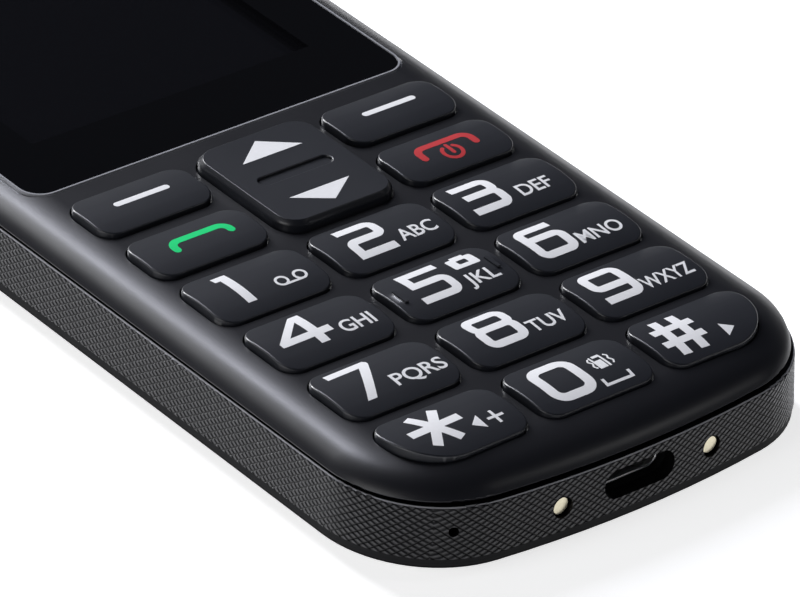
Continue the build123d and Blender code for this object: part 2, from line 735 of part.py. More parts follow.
def main_board():
    """Main circuit board, notched for the USB-C receptacle and holed for the screws."""
    with BuildPart() as board:
        add(slab(outline(HOUSING_HOLLOW + FIT_GAP), BOARD_Z, BOARD_TOP))
        notch_l = 2 * (USB_BACK_Y + FIT_GAP - BOTTOM_Y)
        notch = rectangle(USB_SHELL_W + 2 * FIT_GAP, notch_l, 0, BOTTOM_Y)
        add(slab(notch, BOARD_Z, BOARD_TOP), mode=Mode.SUBTRACT)
        for x, y in SCREW_PLACES:
            add(rod(SCREW_R + FIT_GAP, x, y, BOARD_Z, BOARD_TOP), mode=Mode.SUBTRACT)
    return board.part


def shield_can(width, length, x, y):
    """Pressed can soldered to the board's underside, open towards the board."""
    inside = rectangle(width - 2 * CAN_WALL, length - 2 * CAN_WALL, x, y, CAN_R - CAN_WALL)
    with BuildPart() as can:
        add(slab(rectangle(width, length, x, y, CAN_R), CAN_Z, BOARD_Z))
        add(slab(inside, CAN_Z + CAN_WALL, BOARD_Z), mode=Mode.SUBTRACT)
    return can.part


def side_frame():
    """Side band that flares towards the back, with the mouths for USB-C, studs, microphone and rocker."""
    height = BAND_TOP - BAND_Z
    with BuildPart() as band:
        with BuildSketch(Plane.XY.offset(BAND_Z)):
            add(outline(-BAND_FLARE))
        extrude(amount=height, taper=degrees(atan2(BAND_FLARE, height)))
        fillet(band.faces().sort_by(Axis.Z)[-1].edges(), BAND_EDGE_R)
        add(slab(outline(BAND_WALL), BAND_Z, BAND_TOP), mode=Mode.SUBTRACT)
        add(end_slot(USB_MOUTH_W, USB_MOUTH_H, USB_Z, BOTTOM_Y, USB_FRONT_Y + BAND_WALL), mode=Mode.SUBTRACT)
        for side in (-1, 1):
            add(end_rod(STUD_HOLE_R, side * STUD_X, STUD_Z, BOTTOM_Y, USB_BACK_Y), mode=Mode.SUBTRACT)
        add(mic_hole(), mode=Mode.SUBTRACT)
        mouth = 2 * ROCKER_GAP
        add(side_slot(ROCKER_L + mouth, ROCKER_H + mouth, 0, HALF_WIDTH + BAND_FLARE), mode=Mode.SUBTRACT)
        add(rocker_scoop(), mode=Mode.SUBTRACT)
    return band.part


def band_end_y(x, z):
    """Where the outside of the band's bottom end lies, at a place across it and a height."""
    r = END_R + BAND_FLARE * (BAND_TOP - z) / (BAND_TOP - BAND_Z)
    return -(END_CENTRE_Y + (r**2 - x**2) ** 0.5)


def corner_place(reach):
    """The place at some reach from the middle of the bottom left corner, along the microphone bore."""
    turn = radians(MIC_ANGLE)
    return CORNER_X + reach * cos(turn), CORNER_Y + reach * sin(turn)


def mic_hole():
    """Round bore through the band at the bottom left corner, square to the corner's arc."""
    x, y = corner_place(CORNER_R - HOUSING_HOLLOW - FIT_GAP)
    out = (cos(radians(MIC_ANGLE)), sin(radians(MIC_ANGLE)), 0)
    with BuildPart() as bore:
        with BuildSketch(Plane(origin=(x, y, BAND_MIDDLE + MIC_RAISE), z_dir=out)):
            Circle(MIC_HOLE_R)
        extrude(amount=FIT_GAP + HOUSING_HOLLOW + BAND_FLARE)
    return bore.part


def rocker_scoop():
    """Shallow hollow in the band that leaves the volume rocker standing clear of it."""
    with BuildPart() as scoop:
        with BuildSketch(Plane.XY.offset(BAND_Z)):
            with Locations((HALF_WIDTH - SCOOP_DEPTH + SCOOP_R, ROCKER_Y)):
                Circle(SCOOP_R)
        extrude(amount=BAND_TOP - BAND_Z)
    return scoop.part


def rear_housing():
    """Rear housing: rim under the band, side wall, floor under the board, battery ribs and top section."""
    with BuildPart() as housing:
        add(slab(outline(RIM_INSET), RIM_Z, RIM_TOP))
        add(slab(outline(HOUSING_INSET), RIM_Z, BOARD_TOP))
        add(slab(outline(HOUSING_HOLLOW), RIM_Z, FLOOR_Z), mode=Mode.SUBTRACT)
        add(slab(outline(HOUSING_HOLLOW), FLOOR_TOP, BOARD_TOP), mode=Mode.SUBTRACT)
        add(top_section())
        add(battery_ribs())
        for lift in (-1, 1):
            y = MOTOR_Y + lift * (MOTOR_R + SEAT_GAP + RIB_WALL / 2)
            cradle = rectangle(MOTOR_L, RIB_WALL, MOTOR_X, y)
            add(slab(cradle, MOTOR_Z - CRADLE_LIFT, FLOOR_Z))
        for x, y in SCREW_PLACES:
            add(rod(BOSS_R, x, y, FLOOR_TOP, BOARD_Z))
            add(rod(SCREW_R + FIT_GAP, x, y, FLOOR_Z, BOARD_Z), mode=Mode.SUBTRACT)
        for window in floor_windows():
            add(slab(window, FLOOR_Z, FLOOR_TOP), mode=Mode.SUBTRACT)
        add(end_slot(USB_MOUTH_W, USB_MOUTH_H, USB_Z, BOTTOM_Y, USB_BACK_Y + FIT_GAP), mode=Mode.SUBTRACT)
        for side in (-1, 1):
            add(end_rod(STUD_HOLE_R, side * STUD_X, STUD_Z, BOTTOM_Y, USB_BACK_Y), mode=Mode.SUBTRACT)
        add(mic_hole(), mode=Mode.SUBTRACT)
        length = ROCKER_FLANGE_L + 2 * (ROCKER_GAP + FIT_GAP)
        height = ROCKER_FLANGE_H + 2 * (ROCKER_GAP + FIT_GAP)
        add(side_slot(length, height, SWITCH_X - SWITCH_T, HALF_WIDTH), mode=Mode.SUBTRACT)
    return housing.part


def back_block(z_high):
    """The back's outside up to some height: its foot is tucked in all round by a long eased slope."""
    with BuildPart() as block:
        add(slab(outline(RIM_INSET), 0, z_high))
        foot = block.faces().sort_by(Axis.Z)[0]
        chamfer(foot.edges(), length=BACK_TUCK_IN, length2=BACK_TUCK_UP, reference=foot)
        fillet(block.faces().sort_by(Axis.Z)[0].edges(), BACK_EDGE_R)
    return block.part


def top_section():
    """Closed top part of the back, with the loudspeaker slots and the camera and flash holes."""
    with BuildPart() as section:
        add(back_block(RIM_TOP))
        add(slab(strip(outline(-BAND_FLARE), -LENGTH, TOP_SECTION_Y), 0, RIM_TOP), mode=Mode.SUBTRACT)
        add(slab(outline(RIM_INSET + BACK_SIDE_WALL), TOP_SECTION_WALL, RIM_Z), mode=Mode.SUBTRACT)
        add(slab(outline(HOUSING_HOLLOW), RIM_Z, FLOOR_Z), mode=Mode.SUBTRACT)
        add(rod(CAMERA_R + CAMERA_HOLE_GAP, 0, CAMERA_Y, 0, TOP_SECTION_WALL), mode=Mode.SUBTRACT)
        add(rod(FLASH_R + CAMERA_HOLE_GAP, FLASH_X, CAMERA_Y, 0, TOP_SECTION_WALL), mode=Mode.SUBTRACT)
        with BuildSketch(Plane.XY):
            with Locations((SPEAKER_X, SPEAKER_Y)):
                with GridLocations(SPEAKER_SLOT_PITCH, 1, SPEAKER_SLOTS, 1):
                    SlotOverall(SPEAKER_SLOT_L, SPEAKER_SLOT_W, rotation=90)
        extrude(amount=TOP_SECTION_WALL, mode=Mode.SUBTRACT)
    return section.part


def battery_ribs():
    """Low ribs that fence the battery, open at its contacts."""
    inner_w = BATTERY_W + 2 * BAY_GAP
    inner_l = BATTERY_L + 2 * BAY_GAP
    with BuildPart() as ribs:
        add(slab(rectangle(inner_w + 2 * RIB_WALL, inner_l + 2 * RIB_WALL, 0, BATTERY_Y), RIM_Z, FLOOR_Z))
        add(slab(rectangle(inner_w, inner_l, 0, BATTERY_Y), RIM_Z, FLOOR_Z), mode=Mode.SUBTRACT)
        gate = rectangle(SOCKET_W + 2 * BAY_GAP, SOCKET_L + 2 * BAY_GAP, 0, SOCKET_Y)
        add(slab(gate, RIM_Z, FLOOR_Z), mode=Mode.SUBTRACT)
    return ribs.part


def floor_windows():
    """Plans of the windows in the floor for the sockets, the battery contacts, the studs and the camera."""
    gap = 2 * WINDOW_GAP
    windows = [rectangle(SIM_W + gap, SIM_L + gap, side * SIM_X, SIM_Y) for side in (-1, 1)]
    windows.append(rectangle(CARD_W + gap, CARD_L + gap, CARD_X, CARD_Y))
    windows.append(rectangle(SOCKET_W + gap, SOCKET_L + gap, 0, SOCKET_Y))
    for side in (-1, 1):
        windows.append(rectangle(STUD_LEG + gap, STUD_LEG + gap, side * STUD_X, stud_leg_y()))
    return windows


def back_cover():
    """Sliding back cover: a shallow tray with a sloped rim, tongues at its top end and grip ribs."""
    top_y = TOP_SECTION_Y - FIT_GAP
    with BuildPart() as cover:
        add(back_block(BACK_RIM_Z))
        add(slab(outline(RIM_INSET + BACK_SIDE_WALL), BACK_WALL, BACK_RIM_Z), mode=Mode.SUBTRACT)
        add(slab(strip(outline(-BAND_FLARE), top_y, LENGTH), 0, BACK_RIM_Z), mode=Mode.SUBTRACT)
        tab_z = TOP_SECTION_WALL + SEAT_GAP
        for side in (-1, 1):
            tab = rectangle(TONGUE_TAB_W, 2 * TONGUE_TAB_L, side * TONGUE_TAB_X, top_y)
            add(slab(tab, tab_z, tab_z + TONGUE_TAB_THICK))
            root = rectangle(TONGUE_TAB_W, TONGUE_TAB_L, side * TONGUE_TAB_X, top_y - TONGUE_TAB_L / 2)
            add(slab(root, BACK_WALL, tab_z))
        with BuildSketch(Plane.XY):
            with Locations((0, -HALF_LENGTH + GRIP_UP)):
                with GridLocations(1, GRIP_PITCH, 1, GRIP_COUNT):
                    SlotOverall(GRIP_L, GRIP_W)
        extrude(amount=GRIP_DEPTH, mode=Mode.SUBTRACT)
    return cover.part


def battery():
    """Removable battery pack."""
    with BuildPart() as pack:
        plan = rectangle(BATTERY_W, BATTERY_L, 0, BATTERY_Y, BATTERY_R)
        add(slab(plan, BATTERY_Z, BATTERY_Z + BATTERY_THICK))
        fillet(pack.faces().filter_by(Axis.Z).edges(), BATTERY_EDGE_R)
    return pack.part


def battery_socket():
    """Moulded block on the board that carries the battery's spring contacts."""
    return slab(rectangle(SOCKET_W, SOCKET_L, 0, SOCKET_Y), SOCKET_Z, BOARD_Z)


def battery_terminals():
    """Spring contacts that reach from the socket to the battery's end face."""
    with BuildPart() as blades:
        for step in range(TERMINAL_COUNT):
            x = (step - (TERMINAL_COUNT - 1) / 2) * TERMINAL_PITCH
            blade = rectangle(TERMINAL_W, BAY_GAP, x, BATTERY_TOP_Y + BAY_GAP / 2)
            add(slab(blade, TERMINAL_Z, TERMINAL_Z + TERMINAL_H))
    return blades.part


def card_holder(width, length, x, y, thick):
    """Card socket on the board's underside, with a slot towards the bottom end."""
    z_low = BOARD_Z - thick
    mouth = y - length / 2 + SLOT_DEPTH / 2
    with BuildPart() as holder:
        add(slab(rectangle(width, length, x, y), z_low, BOARD_Z))
        slot = rectangle(width - 2 * SLOT_SIDE, SLOT_DEPTH, x, mouth)
        middle = (z_low + BOARD_Z) / 2
        add(slab(slot, middle - SLOT_H / 2, middle + SLOT_H / 2), mode=Mode.SUBTRACT)
    return holder.part


def sim_sockets():
    """Two SIM sockets side by side."""
    with BuildPart() as sockets:
        for side in (-1, 1):
            add(card_holder(SIM_W, SIM_L, side * SIM_X, SIM_Y, SIM_THICK))
    return sockets.part


def loudspeaker():
    """Loudspeaker over its grille slots."""
    z_low = TOP_SECTION_WALL + MESH_THICK
    plan = rectangle(SPEAKER_W, SPEAKER_L, SPEAKER_X, SPEAKER_Y, SPEAKER_R)
    with BuildPart() as speaker:
        add(slab(plan, z_low, z_low + SPEAKER_H))
        fillet(speaker.faces().sort_by(Axis.Z)[-1].edges(), SPEAKER_R / 4)
    return speaker.part


def speaker_mesh():
    """Dust mesh between the loudspeaker and its slots."""
    plan = rectangle(SPEAKER_W, SPEAKER_L, SPEAKER_X, SPEAKER_Y, SPEAKER_R)
    return slab(plan, TOP_SECTION_WALL, TOP_SECTION_WALL + MESH_THICK)


def camera_module():
    """Camera: square body with a round lens barrel that looks out of the back."""
    barrel_z = WINDOW_SUNK + WINDOW_THICK + SEAT_GAP
    body_z = barrel_z + CAMERA_BARREL_H
    with BuildPart() as camera:
        add(slab(rectangle(CAMERA_SIDE, CAMERA_SIDE, 0, CAMERA_Y), body_z, body_z + CAMERA_BODY_H))
        add(rod(CAMERA_BARREL_R, 0, CAMERA_Y, barrel_z, body_z))
    return camera.part


def camera_window():
    """Clear disc over the camera, set a little below the back face."""
    return rod(CAMERA_R, 0, CAMERA_Y, WINDOW_SUNK, WINDOW_SUNK + WINDOW_THICK)


def flash_lens():
    """Clear disc over the flash lamp."""
    return rod(FLASH_R, FLASH_X, CAMERA_Y, WINDOW_SUNK, WINDOW_SUNK + WINDOW_THICK)


def earpiece():
    """Earpiece receiver between the board and the cover's shelf."""
    return slab(rectangle(EAR_W, EAR_L, 0, EAR_Y, EAR_R), BOARD_TOP, SHELF_Z - MESH_THICK)


def earpiece_mesh():
    """Dust mesh between the earpiece and its slot."""
    return slab(rectangle(EAR_W, EAR_L, 0, EAR_Y, EAR_R), SHELF_Z - MESH_THICK, SHELF_Z)


def vibration_motor():
    """Round motor can, bored at one end for its shaft."""
    with BuildPart() as can:
        with BuildSketch(Plane.YZ.offset(MOTOR_X - MOTOR_L / 2)):
            with Locations((MOTOR_Y, MOTOR_Z)):
                Circle(MOTOR_R)
        extrude(amount=MOTOR_L)
        with BuildSketch(Plane.YZ.offset(MOTOR_X + MOTOR_L / 2 - SHAFT_IN - FIT_GAP)):
            with Locations((MOTOR_Y, MOTOR_Z)):
                Circle(SHAFT_R + SHAFT_GAP)
        extrude(amount=SHAFT_IN + FIT_GAP, mode=Mode.SUBTRACT)
    return can.part


def vibration_weight():
    """Motor shaft with its half-round weight."""
    shaft_x = MOTOR_X + MOTOR_L / 2 - SHAFT_IN
    weight_x = shaft_x + SHAFT_L - WEIGHT_L
    with BuildPart() as weight:
        with BuildSketch(Plane.YZ.offset(shaft_x)):
            with Locations((MOTOR_Y, MOTOR_Z)):
                Circle(SHAFT_R)
        extrude(amount=SHAFT_L)
        with BuildSketch(Plane.YZ.offset(weight_x)):
            with Locations((MOTOR_Y, MOTOR_Z)):
                Circle(WEIGHT_R)
            with Locations((MOTOR_Y, MOTOR_Z + WEIGHT_R)):
                Rectangle(2 * WEIGHT_R, 2 * WEIGHT_R, mode=Mode.SUBTRACT)
            with Locations((MOTOR_Y, MOTOR_Z)):
                Circle(WEIGHT_HUB_R)
        extrude(amount=WEIGHT_L)
    return weight.part


def microphone():
    """Microphone can on the board's underside, beside its bore."""
    x, y = corner_place(MIC_REACH)
    return slab(rectangle(MIC_W, MIC_L, x, y), BOARD_Z - MIC_HEIGHT, BOARD_Z)


def usb_shell():
    """Drawn steel shell of the USB-C receptacle, closed at its back."""
    inner_w = USB_SHELL_W - 2 * USB_SHELL_WALL
    inner_h = USB_SHELL_H - 2 * USB_SHELL_WALL
    with BuildPart() as shell:
        add(end_slot(USB_SHELL_W, USB_SHELL_H, USB_Z, USB_FRONT_Y, USB_BACK_Y))
        hollow_end = USB_BACK_Y - USB_SHELL_WALL
        add(end_slot(inner_w, inner_h, USB_Z, USB_FRONT_Y, hollow_end), mode=Mode.SUBTRACT)
        fillet(shell.faces().sort_by(Axis.Y)[0].edges(), USB_LIP_R)
    return shell.part


def usb_tongue():
    """Contact tongue of the receptacle on its moulded base."""
    inner_w = USB_SHELL_W - 2 * USB_SHELL_WALL
    inner_h = USB_SHELL_H - 2 * USB_SHELL_WALL
    back = USB_BACK_Y - USB_SHELL_WALL
    front = USB_FRONT_Y + TONGUE_RECESS
    with BuildPart() as tongue:
        add(end_slot(inner_w, inner_h, USB_Z, back - TONGUE_BASE, back))
        blade = rectangle(TONGUE_W, back - front, 0, (back + front) / 2)
        add(slab(blade, USB_Z - TONGUE_H / 2, USB_Z + TONGUE_H / 2))
    return tongue.part


def stud_leg_y():
    """Middle of a charging stud's leg, along the phone."""
    return band_end_y(STUD_X, STUD_Z) + STUD_SUNK + STUD_L - STUD_LEG / 2


def charge_contacts():
    """Two gold studs in the band's bottom end, each with a leg up to the board."""
    with BuildPart() as studs:
        for side in (-1, 1):
            x = side * STUD_X
            face_y = band_end_y(x, STUD_Z) + STUD_SUNK
            add(end_rod(STUD_R, x, STUD_Z, face_y, face_y + STUD_L))
            add(slab(rectangle(STUD_LEG, STUD_LEG, x, stud_leg_y()), STUD_Z, BOARD_Z))
    return studs.part


def antenna():
    """Antenna carrier under the floor at the bottom end."""
    with BuildPart() as carrier:
        add(slab(rectangle(ANTENNA_W, ANTENNA_L, 0, ANTENNA_Y), ANTENNA_Z, FLOOR_Z))
        chamfer(carrier.edges().filter_by(Axis.Z), RIB_WALL)
    return carrier.part


def volume_rocker():
    """Volume rocker bar with a flange behind the band."""
    with BuildPart() as rocker:
        add(side_slot(ROCKER_L, ROCKER_H, ROCKER_BACK_X, ROCKER_OUT_X))
        fillet(rocker.faces().sort_by(Axis.X)[-1].edges(), KEY_EDGE_R)
        add(side_slot(ROCKER_FLANGE_L, ROCKER_FLANGE_H, ROCKER_BACK_X, ROCKER_IN_X))
    return rocker.part


def volume_switch():
    """Strip with two side-push switches behind the rocker."""
    with BuildPart() as switch:
        add(side_slot(SWITCH_L, SWITCH_H, SWITCH_X - SWITCH_T, SWITCH_X))
        with BuildSketch(Plane.YZ.offset(SWITCH_X)):
            with Locations((ROCKER_Y - SWITCH_NUB_Y, BAND_MIDDLE), (ROCKER_Y + SWITCH_NUB_Y, BAND_MIDDLE)):
                Circle(SWITCH_NUB_R)
        extrude(amount=SWITCH_NUB_T)
    return switch.part


def housing_screws():
    """Four screws from the floor's underside into the front cover's bosses."""
    with BuildPart() as screws:
        for x, y in SCREW_PLACES:
            add(rod(SCREW_HEAD_R, x, y, FLOOR_Z - SCREW_HEAD_H, FLOOR_Z))
            add(rod(SCREW_R, x, y, FLOOR_Z, BOARD_TOP + SCREW_BITE))
    return screws.part


def write(name, part):
    """Label one piece and write its STEP file."""
    part.label = name
    export_step(part, f"parts/{name}.step")


PIECES = {
    "front_cover": front_cover,
    "display_bezel": display_bezel,
    "display_lens": display_lens,
    "lens_tape": lens_tape,
    "lcd_panel": lcd_panel,
    "lcd_backlight": lcd_backlight,
    "lcd_flex": lcd_flex,
    "key_nav": key_nav,
    "keypad_mat": keypad_mat,
    "key_domes": key_domes,
    "main_board": main_board,
    "side_frame": side_frame,
    "rear_housing": rear_housing,
    "back_cover": back_cover,
    "battery": battery,
    "battery_socket": battery_socket,
    "battery_terminals": battery_terminals,
    "sim_sockets": sim_sockets,
    "loudspeaker": loudspeaker,
    "speaker_mesh": speaker_mesh,
    "camera_module": camera_module,
    "camera_window": camera_window,
    "flash_lens": flash_lens,
    "earpiece": earpiece,
    "earpiece_mesh": earpiece_mesh,
    "vibration_motor": vibration_motor,
    "vibration_weight": vibration_weight,
    "microphone": microphone,
    "usb_shell": usb_shell,
    "usb_tongue": usb_tongue,
    "charge_contacts": charge_contacts,
    "antenna": antenna,
    "volume_rocker": volume_rocker,
    "volume_switch": volume_switch,
    "housing_screws": housing_screws,
}

os.makedirs("parts", exist_ok=True)
for piece_name, make in PIECES.items():
    write(piece_name, make())
for key_name in KEYS:
    write(key_name, key_cap(key_name))
write("shield_radio", shield_can(RADIO_W, RADIO_L, RADIO_X, RADIO_Y))
write("shield_power", shield_can(POWER_W, POWER_L, POWER_X, POWER_Y))
write("card_socket", card_holder(CARD_W, CARD_L, CARD_X, CARD_Y, CARD_THICK))
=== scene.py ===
"""A big-button mobile phone on its back on a white studio floor, put together from its front cover down."""
from math import cos, pi, radians, sin

import bmesh
import bpy
import numpy as np
from mathutils import Matrix, Vector


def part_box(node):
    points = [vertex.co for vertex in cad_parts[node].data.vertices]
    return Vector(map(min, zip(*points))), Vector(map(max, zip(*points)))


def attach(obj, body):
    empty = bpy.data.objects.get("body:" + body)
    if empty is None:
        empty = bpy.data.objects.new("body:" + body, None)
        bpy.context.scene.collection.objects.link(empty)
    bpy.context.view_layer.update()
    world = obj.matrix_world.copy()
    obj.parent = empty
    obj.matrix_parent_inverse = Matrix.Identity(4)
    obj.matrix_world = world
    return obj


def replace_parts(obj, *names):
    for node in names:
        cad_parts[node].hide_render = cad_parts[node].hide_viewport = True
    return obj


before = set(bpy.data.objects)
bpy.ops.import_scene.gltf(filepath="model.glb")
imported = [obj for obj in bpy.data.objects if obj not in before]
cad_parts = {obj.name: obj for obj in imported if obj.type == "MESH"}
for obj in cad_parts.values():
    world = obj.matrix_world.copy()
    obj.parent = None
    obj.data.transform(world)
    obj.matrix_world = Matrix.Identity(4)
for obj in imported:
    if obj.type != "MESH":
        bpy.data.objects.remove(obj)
bpy.context.view_layer.update()


# Studio: a white floor under a dim ceiling. A broad light stands low on the left and another low behind the
# phone; a narrow strip above that draws the streak on the left shoulder, two dimmer ones beside it fade the
# streak out, and a small one at the front right glints on the bottom end's edges.

def set_up(name, data, place, backward, lean=0.0):
    """A lamp or camera at a place: its third axis points backward, its first one is level but for a lean."""
    level = Vector((0, 0, 1)).cross(backward).normalized()
    upward = backward.cross(level)
    axes = Matrix((level * cos(lean) + upward * sin(lean), upward * cos(lean) - level * sin(lean), backward))
    holder = bpy.data.objects.new(name, data)
    holder.matrix_world = Matrix.Translation(place) @ axes.transposed().to_4x4()
    bpy.context.scene.collection.objects.link(holder)
    return holder


KEYPAD = (0, -0.02, 0)
COOL = (0.86, 0.88, 1.0)


def softbox(name, place, width, height, watts, tint=(1, 1, 1), aim=KEYPAD):
    """A flat rectangular lamp at a place, turned to its aim."""
    lamp = bpy.data.lights.new(name, "AREA")
    lamp.shape, lamp.size, lamp.size_y, lamp.energy, lamp.color = "RECTANGLE", width, height, watts, tint
    set_up(name, lamp, place, (Vector(place) - Vector(aim)).normalized())


softbox("left_light", (-0.95, -0.15, 0.38), 0.70, 0.50, 2.7)
softbox("rear_light", (-0.02, 0.98, 0.50), 0.40, 0.40, 15, (0.97, 0.98, 1.0))
softbox("streak_light", (0.050, 0.50, 0.62), 0.10, 0.30, 2.3, COOL)
softbox("inner_fade", (0.140, 0.50, 0.60), 0.17, 0.30, 0.17, COOL)
softbox("outer_fade", (0.240, 0.50, 0.56), 0.20, 0.30, 0.09, COOL)
softbox("front_light", (0.56, -0.57, 0.60), 0.20, 0.20, 0.3, aim=(0, -0.07, 0))

AZIMUTH, ELEVATION, LEAN = radians(-41.9255), radians(32.3910), radians(4.6959)
CAMERA_PLACE = (-0.40720, -0.48420, 0.39321)
backward = Vector((sin(AZIMUTH) * cos(ELEVATION), -cos(AZIMUTH) * cos(ELEVATION), sin(ELEVATION)))
camera = set_up("camera", bpy.data.cameras.new("camera"), CAMERA_PLACE, backward, LEAN)
camera.data.lens, camera.data.sensor_width, camera.data.clip_end = 310.57, 36.0, 20.0
bpy.context.scene.camera = camera
bpy.context.scene.view_settings.view_transform = "Standard"


class Value:
    """One socket of a node tree. Arithmetic on it adds Math nodes, and add() puts any other node beside it."""

    def __init__(self, tree, socket=None):
        self.tree, self.socket = tree, socket

    def add(self, kind, settings=(), sockets=(), output=0):
        """A node of one kind: first its settings, then a number, colour or link for each socket it is given."""
        node = self.tree.nodes.new(kind)
        for name, value in dict(settings).items():
            if name == "stops":
                ends = node.color_ramp.elements
                ends[0].position, ends[0].color = value[0]
                ends[-1].position, ends[-1].color = value[-1]
                for place, colour in value[1:-1]:
                    ends.new(place).color = colour
            else:
                setattr(node, name, value)
        for name, value in dict(sockets).items():
            if isinstance(value, Value):
                self.tree.links.new(value.socket, node.inputs[name])
            else:
                node.inputs[name].default_value = value
        return Value(self.tree, node.outputs[output])

    def maths(self, operation, *numbers):
        return self.add("ShaderNodeMath", {"operation": operation}, dict(enumerate(numbers)))

    def __add__(self, other): return self.maths("ADD", self, other)
    def __radd__(self, other): return self.maths("ADD", other, self)
    def __sub__(self, other): return self.maths("SUBTRACT", self, other)
    def __rsub__(self, other): return self.maths("SUBTRACT", other, self)
    def __mul__(self, other): return self.maths("MULTIPLY", self, other)
    def __rmul__(self, other): return self.maths("MULTIPLY", other, self)
    def __truediv__(self, other): return self.maths("DIVIDE", self, other)
    def __pow__(self, other): return self.maths("POWER", self, other)
    def __lt__(self, other): return self.maths("LESS_THAN", self, other)
    def __gt__(self, other): return self.maths("GREATER_THAN", self, other)
    def __abs__(self): return self.maths("ABSOLUTE", self)

    def least(self, other): return self.maths("MINIMUM", self, other)
    def most(self, other): return self.maths("MAXIMUM", self, other)

    def blend(self, dark, light):
        """The colour between two colours, at this value's share of the way."""
        return self.add("ShaderNodeMix", {"data_type": "RGBA"}, {0: self, 6: dark, 7: light}, 2)


def axis(place, number):
    """One coordinate of a place: 0 is across the phone, 1 is along it and 2 is up."""
    return place.add("ShaderNodeSeparateXYZ", sockets={0: place}, output=number)


sky = bpy.data.worlds.new("sweep")
sky.use_nodes = True
sky_light = sky.node_tree.nodes["Background"]
height = axis(Value(sky.node_tree).add("ShaderNodeTexCoord"), 2)
ceiling = ((height + 0.01) / 0.06).most(0).least(1)
shade = ceiling.blend((0.95, 0.95, 0.96, 1), (0.029, 0.031, 0.039, 1))
sky.node_tree.links.new(shade.socket, sky_light.inputs["Color"])
bpy.context.scene.world = sky

FAR, LOW = 3, -2e-5
floor_mesh = bpy.data.meshes.new("floor")
floor_mesh.from_pydata([(-FAR, -FAR, LOW), (FAR, -FAR, LOW), (FAR, FAR, LOW), (-FAR, FAR, LOW)], [],
                       [(0, 1, 2, 3)])
floor = bpy.data.objects.new("floor", floor_mesh)
bpy.context.scene.collection.objects.link(floor)
floor_paint = bpy.data.materials.new("floor_paint")
floor_paint.use_nodes = True
floor_shader = floor_paint.node_tree.nodes["Principled BSDF"]
for socket, value in (("Base Color", (0.9, 0.9, 0.9, 1)), ("Roughness", 0.9), ("Specular IOR Level", 0.0),
                      ("Emission Color", (1, 1, 1, 1)), ("Emission Strength", 0.75)):
    floor_shader.inputs[socket].default_value = value
floor_mesh.materials.append(floor_paint)


# Front cover: one black polycarbonate moulding, satin, with a very fine eroded grain that softens the
# long shoulder's highlight. Its lip snaps over the side band's neck and its wells guide the keys.

def finish(name, **constants):
    """A new material, its shader, and object space in mm. Sockets that stay the same all over are set here."""
    made = bpy.data.materials.new(name)
    made.use_nodes = True
    shader = made.node_tree.nodes["Principled BSDF"]
    for socket, value in constants.items():
        shader.inputs[socket.replace("_", " ")].default_value = value
    place = Value(made.node_tree).add("ShaderNodeTexCoord", output="Object")
    return made, shader, place.add("ShaderNodeVectorMath", {"operation": "SCALE"}, {0: place, "Scale": 1000})


def feed(shader, **links):
    """Links values to a shader's sockets by name."""
    for socket, value in links.items():
        value.tree.links.new(value.socket, shader.inputs[socket.replace("_", " ")])


def speckle(place, size, detail=2.0):
    """Noise from 0 to 1 whose blobs are about `size` mm across."""
    return place.add("ShaderNodeTexNoise", sockets={"Vector": place, "Scale": 1 / size, "Detail": detail})


def relief(height, depth, strength=1.0):
    """A surface normal from a height of 0 to 1 that stands for a depth in mm."""
    return height.add("ShaderNodeBump", sockets={"Height": height, "Distance": depth / 1000,
                                                 "Strength": strength})


def moulding(name, dark, light, gloss, grain, depth, **constants):
    """A moulded plastic: eroded grain in the relief and colour, and slow clouds where the gloss varies."""
    made, shader, place = finish(name, **constants)
    fine, cloud = speckle(place, grain), speckle(place, 9.0)
    feed(shader, Base_Color=(fine * 0.6 + cloud * 0.4).blend(dark, light),
         Roughness=gloss + cloud * 0.06 + fine * 0.04, Normal=relief(fine, depth))
    return made


WELD, LEVEL, CREASE = 1e-6, radians(0.3), radians(28)


def joined(node, coat, body="phone"):
    """The CAD solid again as one skin: its loose triangles share corners, level ones are merged into one facet,
    and it is shaded round except at edges sharper than the crease angle."""
    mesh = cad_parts[node].data.copy()
    skin = bmesh.new()
    skin.from_mesh(mesh)
    bmesh.ops.remove_doubles(skin, verts=skin.verts, dist=WELD)
    bmesh.ops.dissolve_limit(skin, angle_limit=LEVEL, verts=skin.verts, edges=skin.edges)
    skin.to_mesh(mesh)
    skin.free()
    mesh.shade_smooth()
    mesh.set_sharp_from_angle(angle=CREASE)
    mesh.materials.clear()
    mesh.materials.append(coat)
    piece = bpy.data.objects.new(node + "_skin", mesh)
    bpy.context.scene.collection.objects.link(piece)
    piece.modifiers.new("even_shading", "WEIGHTED_NORMAL").keep_sharp = True
    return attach(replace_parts(piece, node), body)


def dress(coat, *nodes):
    """Gives carried-over CAD solids their material."""
    for node in nodes:
        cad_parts[node].data.materials.clear()
        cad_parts[node].data.materials.append(coat)


HALF_WIDTH, HALF_LENGTH, END_BOW, CORNER = 29.2, 69.0, 3.0, 13.1
END_RADIUS = (HALF_WIDTH**2 + END_BOW**2) / (2 * END_BOW)
END_CENTRE = HALF_LENGTH - END_RADIUS
CORNER_X = HALF_WIDTH - CORNER
CORNER_Y = END_CENTRE + ((END_RADIUS - CORNER)**2 - CORNER_X**2)**0.5
CORNER_END = np.arctan2(CORNER_Y - END_CENTRE, CORNER_X)


